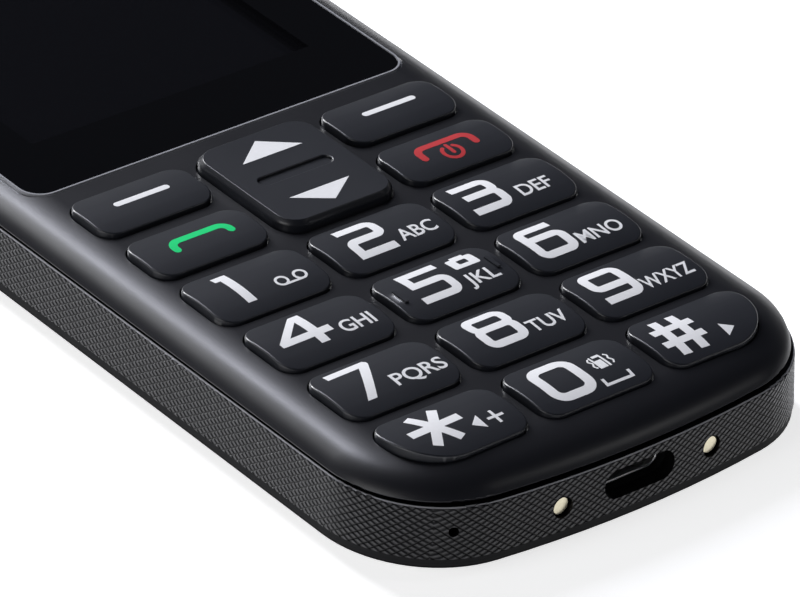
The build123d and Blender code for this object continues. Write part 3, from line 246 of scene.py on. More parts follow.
def outward(x, y):
    """Level direction square to the band: straight out of a side, else away from the centre of the arc that the
    place lies on, the corner's or the end's."""
    across, along = np.abs(x), np.abs(y)
    turn = np.arctan2(along - CORNER_Y, across - CORNER_X)
    out = np.where((along < CORNER_Y)[:, None], [1.0, 0.0], np.where(
        (turn < CORNER_END)[:, None], np.column_stack([across - CORNER_X, along - CORNER_Y]),
        np.column_stack([across, along - END_CENTRE])))
    return out / np.linalg.norm(out, axis=1)[:, None] * np.column_stack([np.sign(x), np.sign(y)])


FACE_Z, LIP_DROP = 11.7, 2.6
WIDE_ARC, WIDE_TILT, FOOT_TILT = 12.3, radians(16), radians(60)


def shoulder_tilt(drop):
    """How far the shoulder's shading leans out at a drop below the cover's face: over a wide arc, whose cosine
    falls with the drop, then over a closer arc that reaches the foot's tilt at the lip."""
    soft, foot = cos(WIDE_TILT), cos(FOOT_TILT)
    meet = WIDE_ARC * (1 - soft)
    closer = soft - (drop - meet) * (soft - foot) / (LIP_DROP - meet)
    return np.arccos(np.clip(np.where(drop < meet, 1 - drop / WIDE_ARC, closer), foot, 1))


def mesh_arrays(mesh):
    """Corner places in mm, the corner of each loop, and each face's middle in mm, normal and loop count."""
    faces = len(mesh.polygons)
    spots, loops = np.empty(3 * len(mesh.vertices)), np.empty(len(mesh.loops), int)
    middles, normals, counts = np.empty(3 * faces), np.empty(3 * faces), np.empty(faces, int)
    mesh.vertices.foreach_get("co", spots)
    mesh.loops.foreach_get("vertex_index", loops)
    mesh.polygons.foreach_get("center", middles)
    mesh.polygons.foreach_get("normal", normals)
    mesh.polygons.foreach_get("loop_total", counts)
    return spots.reshape(-1, 3) * 1000, loops, middles.reshape(-1, 3) * 1000, normals.reshape(-1, 3), counts


END_SHORT = 0.45


def cover_normal(places):
    """The normal that the cover's outside is shaded with at places in mm: up, leaned outward by the shoulder's
    tilt. Its ends are a little shorter than the band's, so directions are taken that much further out."""
    tilt = shoulder_tilt(np.maximum(FACE_Z - places[:, 2], 0))[:, None]
    away = outward(places[:, 0], places[:, 1] + END_SHORT * np.sign(places[:, 1]))
    return np.hstack([away * np.sin(tilt), np.cos(tilt)])


satin_black = moulding("satin_black", (0.0058, 0.0060, 0.0082, 1), (0.0084, 0.0087, 0.0116, 1), 0.30, 0.16,
                       0.0010)
cover = joined("front_cover", satin_black)
cover.modifiers.clear()
spots, loops, middles, normals, counts = mesh_arrays(cover.data)
LIKENESS, LIP_TOP = 0.82, 9.25
smooth = ((cover_normal(middles) * normals).sum(1) > LIKENESS) & (middles[:, 2] > LIP_TOP)
shading = cover_normal(spots)[loops] * np.repeat(smooth, counts)[:, None]
cover.data.normals_split_custom_set(shading.tolist())


# Earpiece: a flat receiver in a black case, seated in the front cover behind the slot at the top. A woven dust
# cloth is glued over its mouth; the loudspeaker at the back has one of the same kind.

def weave(place, pitch):
    """Plain cloth in the XY plane: two sets of threads, each a row of half waves, that take turns on top."""
    across, along = axis(place, 0) * pi / pitch, axis(place, 1) * pi / pitch
    return abs(place.maths("SINE", across) * place.maths("SINE", along))


dust_cloth, shader, place = finish("dust_cloth", Roughness=0.85)
threads = weave(place, 0.22)
feed(shader, Base_Color=threads.blend((0.003, 0.003, 0.003, 1), (0.03, 0.03, 0.032, 1)),
     Normal=relief(threads, 0.05))
dress(dust_cloth, "earpiece_mesh", "speaker_mesh")
black_block = moulding("black_block", (0.008, 0.008, 0.009, 1), (0.014, 0.014, 0.015, 1), 0.5, 0.25, 0.004)
dress(black_block, "earpiece")


# Display: an LCD module in a pressed tray, dark while it is off, with its amber ribbon folded to the board.
# The ledge of the cover holds a foam gasket and the glued lens, whose rim, a thin ring, is painted light grey as
# a painted highlight along the lens's edge.

def inside(place, left, right, foot, head, soft):
    """1 inside a rectangle of the XY plane and 0 outside, over a soft edge; all in mm."""
    sideways = (right - left) / 2 - abs(axis(place, 0) - (left + right) / 2)
    lengthways = (head - foot) / 2 - abs(axis(place, 1) - (foot + head) / 2)
    return (sideways.least(lengthways) / soft).most(0).least(1)


off_screen, shader, place = finish("off_screen", Roughness=0.12)
LIT_PART = -18.36, 18.36, 9.0, 57.96
lit_area = inside(place, *LIT_PART, 0.08)
cells = weave(place, 0.153)
feed(shader, Base_Color=lit_area.blend((0.002, 0.002, 0.0022, 1), (0.0075, 0.0078, 0.0105, 1)),
     Normal=relief(cells * lit_area, 0.002, 0.3))
dress(off_screen, "lcd_panel")

foam_tape = moulding("foam_tape", (0.004, 0.004, 0.004, 1), (0.012, 0.012, 0.012, 1), 0.8, 0.12, 0.02)
dress(foam_tape, "lens_tape")


def rolled_metal(name, dark, light, gloss, stretch, depth):
    """Sheet or turned metal: noise drawn out along one axis gives its rolling or turning marks."""
    made, shader, place = finish(name, Metallic=1.0)
    drawn = place.add("ShaderNodeMapping", sockets={"Vector": place, "Scale": stretch})
    marks = speckle(drawn, 0.08, 3.0)
    feed(shader, Base_Color=marks.blend(dark, light), Roughness=gloss + marks * 0.15,
         Normal=relief(marks, depth))
    return made


pressed_tray = rolled_metal("pressed_tray", (0.55, 0.56, 0.58, 1), (0.72, 0.73, 0.75, 1), 0.3, (1, 0.06, 1),
                            0.0008)
dress(pressed_tray, "lcd_backlight")

amber_ribbon, shader, place = finish("amber_ribbon", Coat_Weight=0.4)
lines = axis(place, 0) / 0.5
copper = abs(lines.maths("FRACT", lines) - 0.5) < 0.27
feed(shader, Base_Color=copper.blend((0.30, 0.12, 0.015, 1), (0.62, 0.28, 0.09, 1)),
     Roughness=0.4 - copper * 0.12, Normal=relief(copper, 0.02))
dress(amber_ribbon, "lcd_flex")

lens_glass, shader, place = finish("lens_glass", IOR=1.49)
CLEAR_PART = -18.9, 18.9, 8.45, 58.5
window = inside(place, *CLEAR_PART, 0.05)
grime = speckle(place, 6.0)
feed(shader, Base_Color=window.blend((0.0018, 0.0018, 0.0022, 1), (0.004, 0.004, 0.005, 1)),
     Alpha=1 - window * 0.72, Roughness=0.02 + grime * 0.03)
joined("display_lens", lens_glass)
# The bezel ring is a light grey moulding that stands for the bright line at the lens's edge: a painted
# highlight.
highlight_rim = moulding("highlight_rim", (0.30, 0.305, 0.33, 1), (0.38, 0.385, 0.41, 1), 0.16, 0.3, 0.0008,
                      Coat_Weight=0.5)
joined("display_bezel", highlight_rim)


# Keys: sixteen crowned hard caps, painted slate and satin, in the cover's wells on a silicone mat.
# Each legend is pad-printed: a thin film of ink, drawn here with a square brush along its centre line.

slate_cap = moulding("slate_cap", (0.0096, 0.0108, 0.0150, 1), (0.0138, 0.0152, 0.0206, 1), 0.34, 0.14, 0.0010,
                     Coat_Weight=0.25, Coat_Roughness=0.16)


def ink(name, colour):
    """Pad-printing ink: an even colour that is a little thinner in small blotches, and a soft gloss."""
    made, shader, place = finish(name, Specular_IOR_Level=0.2)
    blotch = speckle(place, 0.4)
    thin = tuple(0.93 * part for part in colour[:3]) + (1,)
    feed(shader, Base_Color=blotch.blend(thin, colour), Roughness=0.45 + blotch * 0.1,
         Normal=relief(blotch, 0.001))
    return made


white_ink = ink("white_ink", (0.87, 0.87, 0.88, 1))
green_ink = ink("green_ink", (0.006, 0.68, 0.20, 1))
red_ink = ink("red_ink", (0.52, 0.040, 0.046, 1))


def bent(corners, radius=0.0, closed=False):
    """A line of straight runs whose corners are each eased by an arc that touches both runs. The arc starts
    radius x tan(half the turn) before its corner, round a centre one radius to the inner side."""
    corners = np.array(corners, float)
    radius = np.broadcast_to(np.array(radius, float), len(corners))
    before, after = corners - np.roll(corners, 1, 0), np.roll(corners, -1, 0) - corners
    if not closed:
        before[0], after[-1] = after[0], before[-1]
    before /= np.linalg.norm(before, axis=1)[:, None]
    after /= np.linalg.norm(after, axis=1)[:, None]
    turn = np.arctan2(before[:, 0] * after[:, 1] - before[:, 1] * after[:, 0], (before * after).sum(1))
    reach = radius * np.abs(np.tan(turn / 2))
    inner = np.stack([-before[:, 1], before[:, 0]], 1) * np.sign(turn)[:, None]
    angle = np.abs(turn)[:, None, None] * np.linspace(0, 1, 9)[None, :, None]
    arcs = (corners - before * reach[:, None])[:, None] + radius[:, None, None] * (
        np.sin(angle) * before[:, None] + (1 - np.cos(angle)) * inner[:, None])
    line = arcs.reshape(-1, 2)
    apart = np.linalg.norm(np.diff(line, axis=0), axis=1) > 1e-5
    line = line[np.append(True, apart)]
    return line[:-1] if closed and np.linalg.norm(line[0] - line[-1]) < 1e-5 else line


def round_line(centre, radius, first=0, last=360):
    """Points on a circle, some 10 degrees apart, from one angle to another; a whole turn stops a step short."""
    whole = last - first == 360
    angle = np.radians(np.linspace(first, last, 36 if whole else 26, endpoint=not whole))
    return np.array(centre) + radius * np.column_stack([np.cos(angle), np.sin(angle)])


def brushed(line, width, closed=False, round_ends=False):
    """A strip of one width along a line, as its left and right edges: each point is pushed out by half the
    width along the mitre of its two runs. Round ends add points whose half width falls as a cosine."""
    half = np.full(len(line), width / 2)
    if round_ends:
        swing = np.radians(np.linspace(15, 89.9, 7))[:, None]
        first, last = line[0] - line[1], line[-1] - line[-2]
        head = line[0] + first / np.linalg.norm(first) * np.sin(swing[::-1]) * width / 2
        tail = line[-1] + last / np.linalg.norm(last) * np.sin(swing) * width / 2
        line = np.concatenate([head, line, tail])
        half = np.concatenate([np.cos(swing[::-1, 0]), np.ones(len(half)), np.cos(swing[:, 0])]) * width / 2
    run = np.roll(line, -1, 0) - line
    run = run if closed else np.concatenate([run[:-1], run[-2:-1]])
    run /= np.linalg.norm(run, axis=1)[:, None]
    side = np.stack([-run[:, 1], run[:, 0]], 1)
    former = np.roll(side, 1, 0) if closed else np.concatenate([side[:1], side[:-1]])
    mitre = (side + former) / (1 + (side * former).sum(1))[:, None]
    return line + mitre * half[:, None], line - mitre * half[:, None], closed


def outlined(left, right):
    """A filled shape between two edges that run side by side, such as the two flanks of a triangle."""
    return np.array(left, float), np.array(right, float), False


def holed(corners, radius, centre, hole):
    """A rounded shape with a round hole: edge points all round it, each paired with the hole's point straight
    towards the centre."""
    rim = bent(corners, radius, closed=True)
    away = rim - centre
    return rim, np.array(centre) + hole * away / np.linalg.norm(away, axis=1)[:, None], True


INK_FOOT, INK_TOP, OVERLAP = -0.004, 0.014, 0.001


def film(strips, low, high):
    """Corners and faces of thin plates: a section of four corners is carried between each strip's two edges.
    Where strokes cross, the later one lies a micrometre higher."""
    corners, faces = [], []
    for layer, (left, right, closed) in enumerate(strips):
        count, start = len(left), sum(map(len, corners))
        levels = [np.full(count, low), np.full(count, high + OVERLAP * layer)]
        ring = np.stack([np.column_stack([edge, level]) for edge, level in
                         ((left, levels[0]), (right, levels[0]), (right, levels[1]), (left, levels[1]))], 1)
        at = np.arange(count if closed else count - 1)[:, None] * 4
        corner, beside = np.arange(4)[None], (np.arange(4)[None] + 1) % 4
        ahead = (at + 4) % (4 * count)
        walls = np.stack([at + corner, at + beside, ahead + beside, ahead + corner], -1).reshape(-1, 4)
        caps = np.array([[0, 3, 2, 1], [0, 1, 2, 3]]) + [[0], [4 * count - 4]]
        caps = caps[:0] if closed else caps
        corners.append(ring.reshape(-1, 3))
        faces.append(np.concatenate([walls, caps]) + start)
    return np.concatenate(corners), np.concatenate(faces)


CAPITAL_HEIGHT, BOLDNESS = 1.95, 0.014


def lettering(word, left, right, foot):
    """The built-in typeface as a thin mesh: capitals on the foot line, spread from left to right."""
    def typed(letters):
        text = bpy.data.curves.new(letters, "FONT")
        text.body, text.extrude, text.offset, text.resolution_u = letters, 0.5, BOLDNESS, 5
        shown = bpy.data.objects.new(letters, text)
        bpy.context.scene.collection.objects.link(shown)
        made = bpy.data.meshes.new_from_object(shown.evaluated_get(bpy.context.evaluated_depsgraph_get()))
        bpy.data.objects.remove(shown)
        spots = np.empty(3 * len(made.vertices))
        made.vertices.foreach_get("co", spots)
        return made, spots.reshape(-1, 3)
    capital = np.ptp(typed("H")[1][:, 1])
    made, spots = typed(word)
    width = np.ptp(spots[:, 0])
    spots[:, 0] = left + (spots[:, 0] - spots[:, 0].min()) * (right - left) / width
    spots[:, 1] = foot + spots[:, 1] * CAPITAL_HEIGHT / capital
    spots[:, 2] = np.where(spots[:, 2] > 0, INK_TOP, INK_FOOT)
    made.vertices.foreach_set("co", spots.ravel())
    return made


CAP_TOP, CROWN = 12.6, 17.8
CAP_HALF, BOW_STEP = 4.2, 0.35


def print_on(key, strips, words=(), colour=white_ink, level=CAP_TOP, crown=CROWN):
    """One key's legend: strips and words in mm from the middle of the cap, laid on its top and bowed with it.
    Each corner sinks by the square of its distance up or down the cap over twice the crown's radius."""
    low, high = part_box(key)
    inked = bmesh.new()
    corners, faces = film(strips, INK_FOOT, INK_TOP)
    strokes = bpy.data.meshes.new(key + "_strokes")
    strokes.from_pydata(corners.tolist(), [], faces.tolist())
    inked.from_mesh(strokes)
    for word in words:
        inked.from_mesh(lettering(*word))
    bmesh.ops.remove_doubles(inked, verts=inked.verts, dist=1e-4)
    bmesh.ops.recalc_face_normals(inked, faces=inked.faces)
    for cut in np.arange(-CAP_HALF, CAP_HALF + BOW_STEP / 2, BOW_STEP):
        bmesh.ops.bisect_plane(inked, geom=inked.verts[:] + inked.edges[:] + inked.faces[:],
                               plane_co=(0, cut, 0), plane_no=(0, 1, 0))
    legend = bpy.data.meshes.new(key + "_legend")
    inked.to_mesh(legend)
    inked.free()
    spots = np.empty(3 * len(legend.vertices))
    legend.vertices.foreach_get("co", spots)
    spots = spots.reshape(-1, 3)
    spots[:, 2] += level - spots[:, 1]**2 / (2 * crown)
    spots[:, :2] += (np.array(low[:2]) + np.array(high[:2])) / 2 * 1000
    legend.vertices.foreach_set("co", spots.ravel() / 1000)
    legend.materials.append(colour)
    piece = bpy.data.objects.new(key + "_legend", legend)
    bpy.context.scene.collection.objects.link(piece)
    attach(piece, key)


STROKE, BEND = 1.09, 0.78
print_on("key_1", [
    brushed(bent([(-2.33, 3.2), (-2.38, -2.5)]), 1.15),
    outlined([(-3.6, 3.18), (-2.2, 3.19)], [(-3.55, 2.3), (-2.2, 2.3)]),
    brushed(round_line((2.4, -1.2), 0.68), 0.3, closed=True),
    brushed(round_line((4.78, -1.2), 0.68), 0.3, closed=True),
    brushed(bent([(2.4, -1.88), (4.78, -1.88)]), 0.3)])
print_on("key_2", [
    brushed(bent([(-4.2, 2.85), (0.28, 2.85), (0.28, 0.45), (-4.0, 0.45), (-4.05, -2.02), (0.4, -2.02)],
                 [0, BEND, BEND, BEND, 0, 0]), STROKE)],
    [("ABC", 1.28, 6.1, -2.05)])
print_on("key_3", [
    brushed(bent([(-5.42, 2.8), (-0.97, 2.8), (-0.97, 0.57), (-5.05, 0.57)], BEND), STROKE),
    brushed(bent([(-4.95, 0.57), (-0.97, 0.57), (-0.97, -2.0), (-5.6, -2.0)], BEND), STROKE)],
    [("DEF", 0.92, 5.25, -2.1)])
print_on("key_4", [
    outlined([(-5.46, -0.2), (-1.38, 3.65)], [(-3.85, 0.08), (-1.38, 2.5)]),
    outlined([(-5.46, -0.9), (-5.46, -0.2)], [(-4.4, -0.9), (-3.8, 0.12)]),
    outlined([(-5.2, -0.92), (1.12, -0.85)], [(-5.0, 0.12), (1.12, 0.2)]),
    outlined([(-1.38, 3.65), (-1.42, -2.12)], [(-0.12, 3.65), (-0.3, -2.12)])],
    [("GHI", 1.86, 6.06, -1.98)])
print_on("key_5", [
    brushed(bent([(0.82, 3.03), (-3.75, 2.98), (-3.75, 0.82), (0.3, 0.82), (0.3, -1.87), (-4.5, -1.87)],
                 [0, 0, 0, BEND, BEND, 0]), STROKE - 0.04),
    holed([(2.1, 0.88), (5.47, 0.88), (5.47, 2.96), (2.1, 2.96)], 0.3, (3.78, 1.98), 0.68),
    outlined([(2.95, 2.9), (2.95, 3.3)], [(4.65, 2.9), (4.65, 3.3)])],
    [("JKL", 1.6, 5.76, -2.2)])
print_on("key_6", [
    brushed(bent([(-0.6, 2.93), (-4.95, 2.93), (-4.95, -2.1), (-0.8, -2.1), (-0.8, 0.98), (-4.405, 0.98)],
                 BEND), STROKE)],
    [("MNO", 0.15, 5.95, -2.25)])
print_on("key_7", [
    outlined([(-5.28, 2.6), (-0.2, 2.72), (0.17, 2.95)], [(-5.28, 3.58), (-0.05, 3.72), (0.2, 3.35)]),
    outlined([(-1.22, 2.75), (-4.2, -2.5)], [(0.18, 2.99), (-3.02, -2.5)])],
    [("PQRS", 0.14, 6.8, -2.06)])
print_on("key_8", [
    brushed(bent([(-3.8, 0.93), (0.55, 0.93), (0.55, 3.25), (-3.8, 3.25)], 0.8, closed=True), STROKE - 0.04,
            closed=True),
    brushed(bent([(-3.86, -1.8), (0.48, -1.8), (0.48, 0.93), (-3.86, 0.93)], 0.8, closed=True), STROKE,
            closed=True)],
    [("TUV", 1.4, 6.3, -2.06)])
print_on("key_9", [
    brushed(bent([(-1.30, 0.2), (-4.95, 0.2), (-4.95, 3.07), (-0.75, 3.07), (-0.75, -1.87), (-5.27, -1.87)],
                 BEND), STROKE)],
    [("WXYZ", -0.08, 6.55, -2.28)])
print_on("key_star", [
    brushed(bent([(-5.0, 0.48), (1.6, 0.68)]), 1.1),
    brushed(bent([(-3.2, 3.35), (-0.35, -2.3)]), 1.1),
    brushed(bent([(0.1, 3.3), (-3.5, -2.2)]), 1.1),
    outlined([(1.62, -1.3), (2.95, -0.18)], [(1.62, -1.3), (2.92, -2.35)]),
    brushed(bent([(3.62, -1.33), (5.65, -1.33)]), 0.36),
    brushed(bent([(4.63, -0.28), (4.63, -2.4)]), 0.36)])
print_on("key_0", [
    brushed(bent([(-4.52, -2.6), (0.12, -2.6), (0.12, 2.72), (-4.46, 2.72)], 1.25, closed=True), 1.2,
            closed=True),
    brushed(bent([(1.4, -2.1), (1.35, -3.08), (4.75, -3.08), (4.82, -2.1)]), 0.36),
    brushed(bent([(2.62, 1.55), (2.62, -0.72)]), 0.22),
    brushed(bent([(3.12, 0.72), (3.12, -0.72)]), 0.86),
    brushed(bent([(2.96, 1.42), (3.92, 1.42)]), 0.40),
    brushed(bent([(3.84, 1.42), (3.84, -0.72)]), 0.24),
    brushed(bent([(2.36, 1.35), (2.06, 0.95), (2.36, 0.45), (2.06, -0.05), (2.30, -0.5)], 0.25), 0.2),
    brushed(bent([(4.36, 1.35), (4.68, 0.95), (4.38, 0.45), (4.68, -0.05), (4.40, -0.5)], 0.25), 0.2)])
print_on("key_hash", [
    brushed(bent([(-4.1, 3.2), (-4.55, -3.2)]), 1.1),
    brushed(bent([(-1.8, 3.2), (-2.2, -3.2)]), 1.1),
    brushed(bent([(-5.75, 1.22), (-0.4, 1.22)]), 1.0),
    brushed(bent([(-5.98, -1.08), (-0.58, -1.08)]), 1.0),
    outlined([(1.38, -0.9), (2.72, -2.02)], [(1.25, -3.0), (2.72, -2.02)])])
soft_bar = [brushed(bent([(-2.85, 0.5), (3.6, 0.5)]), 0.8, round_ends=True)]
print_on("key_soft_left", soft_bar)
print_on("key_soft_right", soft_bar)
print_on("key_call", [
    brushed(bent([(-3.05, -0.45), (-3.05, 1.0), (4.2, 1.0), (4.2, -0.25)], 1.1), 0.92, round_ends=True)],
    colour=green_ink)
print_on("key_end", [
    brushed(bent([(-3.33, -0.55), (-3.33, 1.35), (3.72, 1.35), (3.72, -0.55)], 1.1), 0.88, round_ends=True),
    brushed(round_line((0.25, -0.85), 1.15, 128, 412), 0.46, round_ends=True),
    brushed(bent([(0.3, 0.45), (0.3, -1.05)]), 0.46, round_ends=True)], colour=red_ink)
for key in ("key_soft_left", "key_soft_right", "key_call", "key_end", "key_star", "key_0", "key_hash",
            *(f"key_{digit}" for digit in range(1, 10))):
    joined(key, slate_cap, body=key)


# Navigation key: a wide rocker that tips about a ridge on the mat, the same painted plastic as the keys but
# flat and a little higher, with bevelled edges and a shallow thumb groove between its two printed arrows.

NAV_TOP, FLAT = 13.0, 1e6
joined("key_nav", slate_cap, body="key_nav")
print_on("key_nav", [
    outlined([(0, 6.9), (-4.05, 3.84)], [(0, 6.9), (4.05, 3.84)]),
    outlined([(-4.05, -4.06), (0, -6.8)], [(4.05, -4.06), (0, -6.8)])], level=NAV_TOP, crown=FLAT)


# Keypad mat and domes: one translucent grey silicone sheet with an island under each key, over snap domes of
# sprung steel on the board.

silicone, shader, place = finish("silicone", Roughness=0.55)
milk = speckle(place, 3.0)
feed(shader, Base_Color=milk.blend((0.36, 0.37, 0.39, 1), (0.48, 0.49, 0.51, 1)),
     Normal=relief(speckle(place, 0.3), 0.006))
dress(silicone, "keypad_mat")
sprung_steel = rolled_metal("sprung_steel", (0.62, 0.62, 0.60, 1), (0.80, 0.80, 0.78, 1), 0.18,
                            (1, 0.1, 1), 0.0006)
dress(sprung_steel, "key_domes")


# Main board: green solder mask over copper tracks, with tinned cans, card sockets and the battery's socket
# soldered to its underside.

board_green, shader, place = finish("board_green", Coat_Weight=0.3, Coat_Roughness=0.2)
tracks = place.add("ShaderNodeTexBrick", {"offset": 0.5}, {
    "Vector": place, "Scale": 1.0, "Mortar Size": 0.09, "Mortar Smooth": 0.1, "Bias": 0.0, "Brick Width": 3.1,
    "Row Height": 0.62, "Color1": (0, 0, 0, 1), "Color2": (0, 0, 0, 1), "Mortar": (1, 1, 1, 1)})
track = tracks.add("ShaderNodeSeparateColor", sockets={0: tracks})
pads = place.add("ShaderNodeTexVoronoi", sockets={"Vector": place, "Scale": 0.42}) < 0.24
masked = track.blend((0.004, 0.055, 0.022, 1), (0.012, 0.13, 0.05, 1))
feed(shader, Base_Color=pads.blend(masked, (0.72, 0.52, 0.22, 1)), Roughness=0.42 - pads * 0.14, Metallic=pads,
     Normal=relief(track, 0.03))
dress(board_green, "main_board")
tinned_sheet = rolled_metal("tinned_sheet", (0.48, 0.48, 0.48, 1), (0.66, 0.66, 0.66, 1), 0.32,
                            (1, 0.12, 1), 0.001)
dress(tinned_sheet, "shield_radio", "shield_power", "sim_sockets", "card_socket", "microphone")
dress(black_block, "battery_socket")
gold_plate = rolled_metal("gold_plate", (0.62, 0.55, 0.38, 1), (0.78, 0.71, 0.52, 1), 0.2, (1, 1, 0.4), 0.0006)
dress(gold_plate, "battery_terminals")


# Side band: a dark grey moulded frame round the waist. Its tool is engraved with fine slanted grooves over
# softer crossing ridges; they meet in an arrow head at two opposite corners.

QUARTER = CORNER_Y + CORNER * CORNER_END + END_RADIUS * (pi / 2 - CORNER_END)
ARROW_AT = CORNER_Y + CORNER * CORNER_END / 2 + 2.6


def along_band(x, y):
    """Distance in mm, measured along the band both ways from the arrow head near the bottom left corner. One
    quarter is a straight side, then the corner's arc, then the end's wide arc; the other quarters mirror it."""
    across, along = np.abs(x), np.abs(y)
    corner = np.clip(np.arctan2(along - CORNER_Y, across - CORNER_X), 0, CORNER_END)
    end = np.clip(np.arctan2(along - END_CENTRE, across), CORNER_END, pi / 2)
    quarter = np.where(along < CORNER_Y, along, CORNER_Y + CORNER * corner + END_RADIUS * (end - CORNER_END))
    left, foot = x < 0, y < 0
    loop = np.where(left & foot, quarter, np.where(foot, 2 * QUARTER - quarter,
                    np.where(left, 4 * QUARTER - quarter, 2 * QUARTER + quarter)))
    return np.abs((loop - ARROW_AT + 2 * QUARTER) % (4 * QUARTER) - 2 * QUARTER)


def fold(value, sharp):
    """A comb of thin lines: 1 on each whole number, falling to 0 over a share of the pitch."""
    return ((abs(value.maths("FRACT", value) - 0.5) * 2 - (1 - sharp)) / sharp).most(0)


engraved_grey, shader, place = finish("engraved_grey", Specular_IOR_Level=0.27)
GROOVE_PITCH, GROOVE_SHARE, GROOVE_SLANT = 0.68, 0.36, radians(36)
RIDGE_PITCH, RIDGE_SLANT = 0.545, radians(29)
HIGHLIGHT_FROM, FIELD_FROM, INSIDE_BELOW = 8.71, 0.8, 0.5
laid = place.add("ShaderNodeUVMap", {"uv_map": "along_band"})
along, upright = axis(laid, 0), axis(laid, 1)
groove = fold((upright * cos(GROOVE_SLANT) + along * sin(GROOVE_SLANT)) / GROOVE_PITCH, GROOVE_SHARE)
wave = (upright * cos(RIDGE_SLANT) - along * sin(RIDGE_SLANT)) / RIDGE_PITCH
ridge = wave.maths("COSINE", wave * (2 * pi)) * 0.5 + 0.5
# Along the band's top edge the colour is light grey and the gloss higher: a painted highlight.
edge = ((upright - HIGHLIGHT_FROM) / 0.05).most(0).least(1)
field = (upright > FIELD_FROM) - edge
# The colour follows the relief: grooves and the troughs between ridges are painted near black, and made metallic
# so they hardly reflect, as painted shade; ridge tops are painted lighter, as a painted highlight. The relief
# itself is real.
pattern = (ridge * 0.8 + 0.2) * (1 - groove) * field
# Faces that don't face outward, such as the mouth's walls, get one dark tone and the same near-black metallic
# finish: painted shade.
shown = pattern * 0.15 + edge + (upright < INSIDE_BELOW) * 0.03
feed(shader, Base_Color=shown.blend((0.0015, 0.0015, 0.0019, 1), (0.36, 0.36, 0.38, 1)),
     Metallic=(0.9 - pattern - edge).most(0), Roughness=0.34 + speckle(place, 0.2) * 0.08 - edge * 0.14,
     Normal=relief(pattern, 0.30))
band = joined("side_frame", engraved_grey)
spots, loops, middles, normals, counts = mesh_arrays(band.data)
FACING_OUT = 0.3
outer = (outward(middles[:, 0], middles[:, 1]) * normals[:, :2]).sum(1) > FACING_OUT
laid_out = np.column_stack([along_band(spots[:, 0], spots[:, 1]), spots[:, 2]])[loops]
laid_out[:, 1] *= np.repeat(outer, counts)
band.data.uv_layers.new(name="along_band").data.foreach_set("uv", laid_out.ravel())


# Charging socket and studs: a drawn steel USB-C receptacle with a black tongue, open at the bottom end, and
# two gold-plated studs sunk in the band for a charging cradle.

drawn_steel = rolled_metal("drawn_steel", (0.60, 0.60, 0.60, 1), (0.78, 0.78, 0.78, 1), 0.30,
                           (1, 0.15, 1), 0.0008)
joined("usb_shell", drawn_steel)
dress(black_block, "usb_tongue")
pale_gold = rolled_metal("pale_gold", (0.72, 0.66, 0.48, 1), (0.86, 0.80, 0.62, 1), 0.25, (1, 0.4, 1), 0.0008)
joined("charge_contacts", pale_gold)


# Volume rocker: a dark grey satin bar moulded in plastic, in a scooped part of the band. A flange behind the
# band keeps it from falling out, and a pair of side switches behind it pushes it back to the middle.

rocker_grey = moulding("rocker_grey", (0.020, 0.020, 0.022, 1), (0.030, 0.030, 0.033, 1), 0.36, 0.18, 0.0015)
joined("volume_rocker", rocker_grey, body="volume_rocker")
dress(black_block, "volume_switch")


# Rear housing: a matt black tray that closes the phone from below and carries the antenna, loudspeaker,
# camera, vibration motor and battery. Four blackened screws hold it.

matt_black = moulding("matt_black", (0.0056, 0.0057, 0.0064, 1), (0.0096, 0.0098, 0.0108, 1), 0.56, 0.3, 0.006,
                      Specular_IOR_Level=0.08)
joined("rear_housing", matt_black)
dress(black_block, "antenna", "loudspeaker", "camera_module")
dress(drawn_steel, "vibration_motor")
heavy_alloy = rolled_metal("heavy_alloy", (0.20, 0.20, 0.21, 1), (0.34, 0.34, 0.35, 1), 0.4, (0.3, 1, 1), 0.003)
joined("vibration_weight", heavy_alloy, body="vibration_weight")
black_screw = rolled_metal("black_screw", (0.05, 0.05, 0.052, 1), (0.10, 0.10, 0.105, 1), 0.35,
                           (1, 1, 0.3), 0.002)
dress(black_screw, "housing_screws")


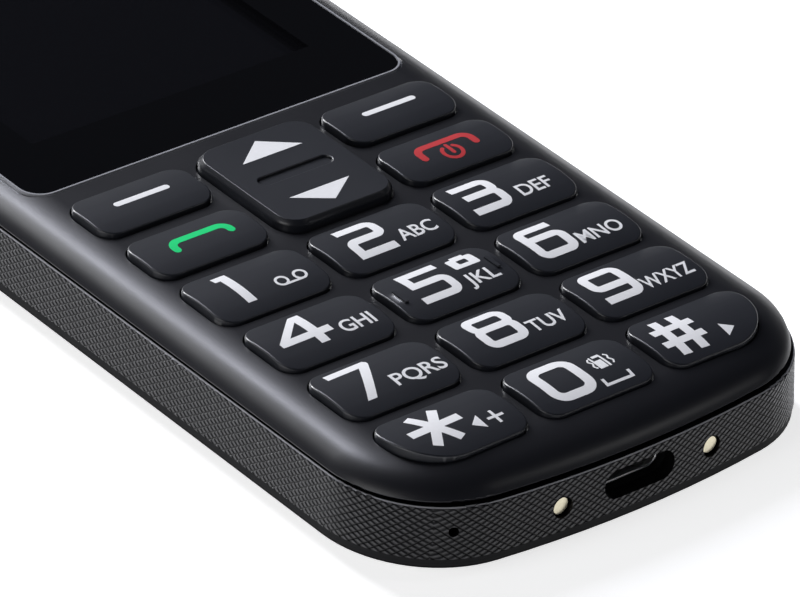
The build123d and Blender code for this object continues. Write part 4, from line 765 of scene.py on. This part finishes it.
def far_from(place, x, y):
    """Level distance in mm from the middle of a round window."""
    across, along = axis(place, 0) - x, axis(place, 1) - y
    return (across * across + along * along) ** 0.5


FLASH_X, WINDOW_Y = 9.0, 56.5
camera_glass, shader, place = finish("camera_glass", IOR=1.5, Coat_Weight=0.6, Coat_Roughness=0.02)
far = far_from(place, 0, WINDOW_Y)
rings = far.add("ShaderNodeValToRGB", {"stops": [
    (0.0, (0.004, 0.006, 0.016, 1)), (0.30, (0.012, 0.010, 0.030, 1)), (0.34, (0.06, 0.06, 0.065, 1)),
    (0.40, (0.004, 0.004, 0.004, 1)), (0.62, (0.010, 0.010, 0.010, 1)), (0.66, (0.10, 0.10, 0.105, 1)),
    (0.70, (0.003, 0.003, 0.003, 1)), (1.0, (0.004, 0.004, 0.004, 1))]}, {0: far / 4.0})
feed(shader, Base_Color=rings, Roughness=0.03 + (far > 1.4) * 0.12)
joined("camera_window", camera_glass)

flash_dome, shader, place = finish("flash_dome", Coat_Weight=0.8, Coat_Roughness=0.05)
far = far_from(place, FLASH_X, WINDOW_Y)
yolk = ((1.0 - far) / 0.25).most(0).least(1)
grooves = (far / 0.22).maths("SINE", far * 28.0) * 0.5 + 0.5
feed(shader, Base_Color=yolk.blend((0.62, 0.62, 0.60, 1), (0.80, 0.62, 0.16, 1)),
     Roughness=0.18 + grooves * 0.1, Normal=relief(grooves, 0.02))
joined("flash_lens", flash_dome)


# Battery: a flat rechargeable cell in a printed grey sleeve. It lies loose in its bay in the rear housing, held
# by the back cover below it and by the three springs of its socket.

sleeve, shader, place = finish("battery_sleeve")
PRINTED_PART = -17.5, 17.5, -37.0, 13.0
label = inside(place, *PRINTED_PART, 0.15)
crinkle = speckle(place, 4.0, 4.0)
feed(shader, Base_Color=label.blend((0.022, 0.022, 0.024, 1), (0.055, 0.057, 0.062, 1)),
     Roughness=0.36 + crinkle * 0.12, Normal=relief(crinkle, 0.05))
joined("battery", sleeve)


# Back cover: a thin matt black lid, moulded in plastic, with a row of grip grooves. Two tongues at its upper end
# hook into the rear housing, and it slides towards the bottom end to open.

joined("back_cover", matt_black, body="back_cover")
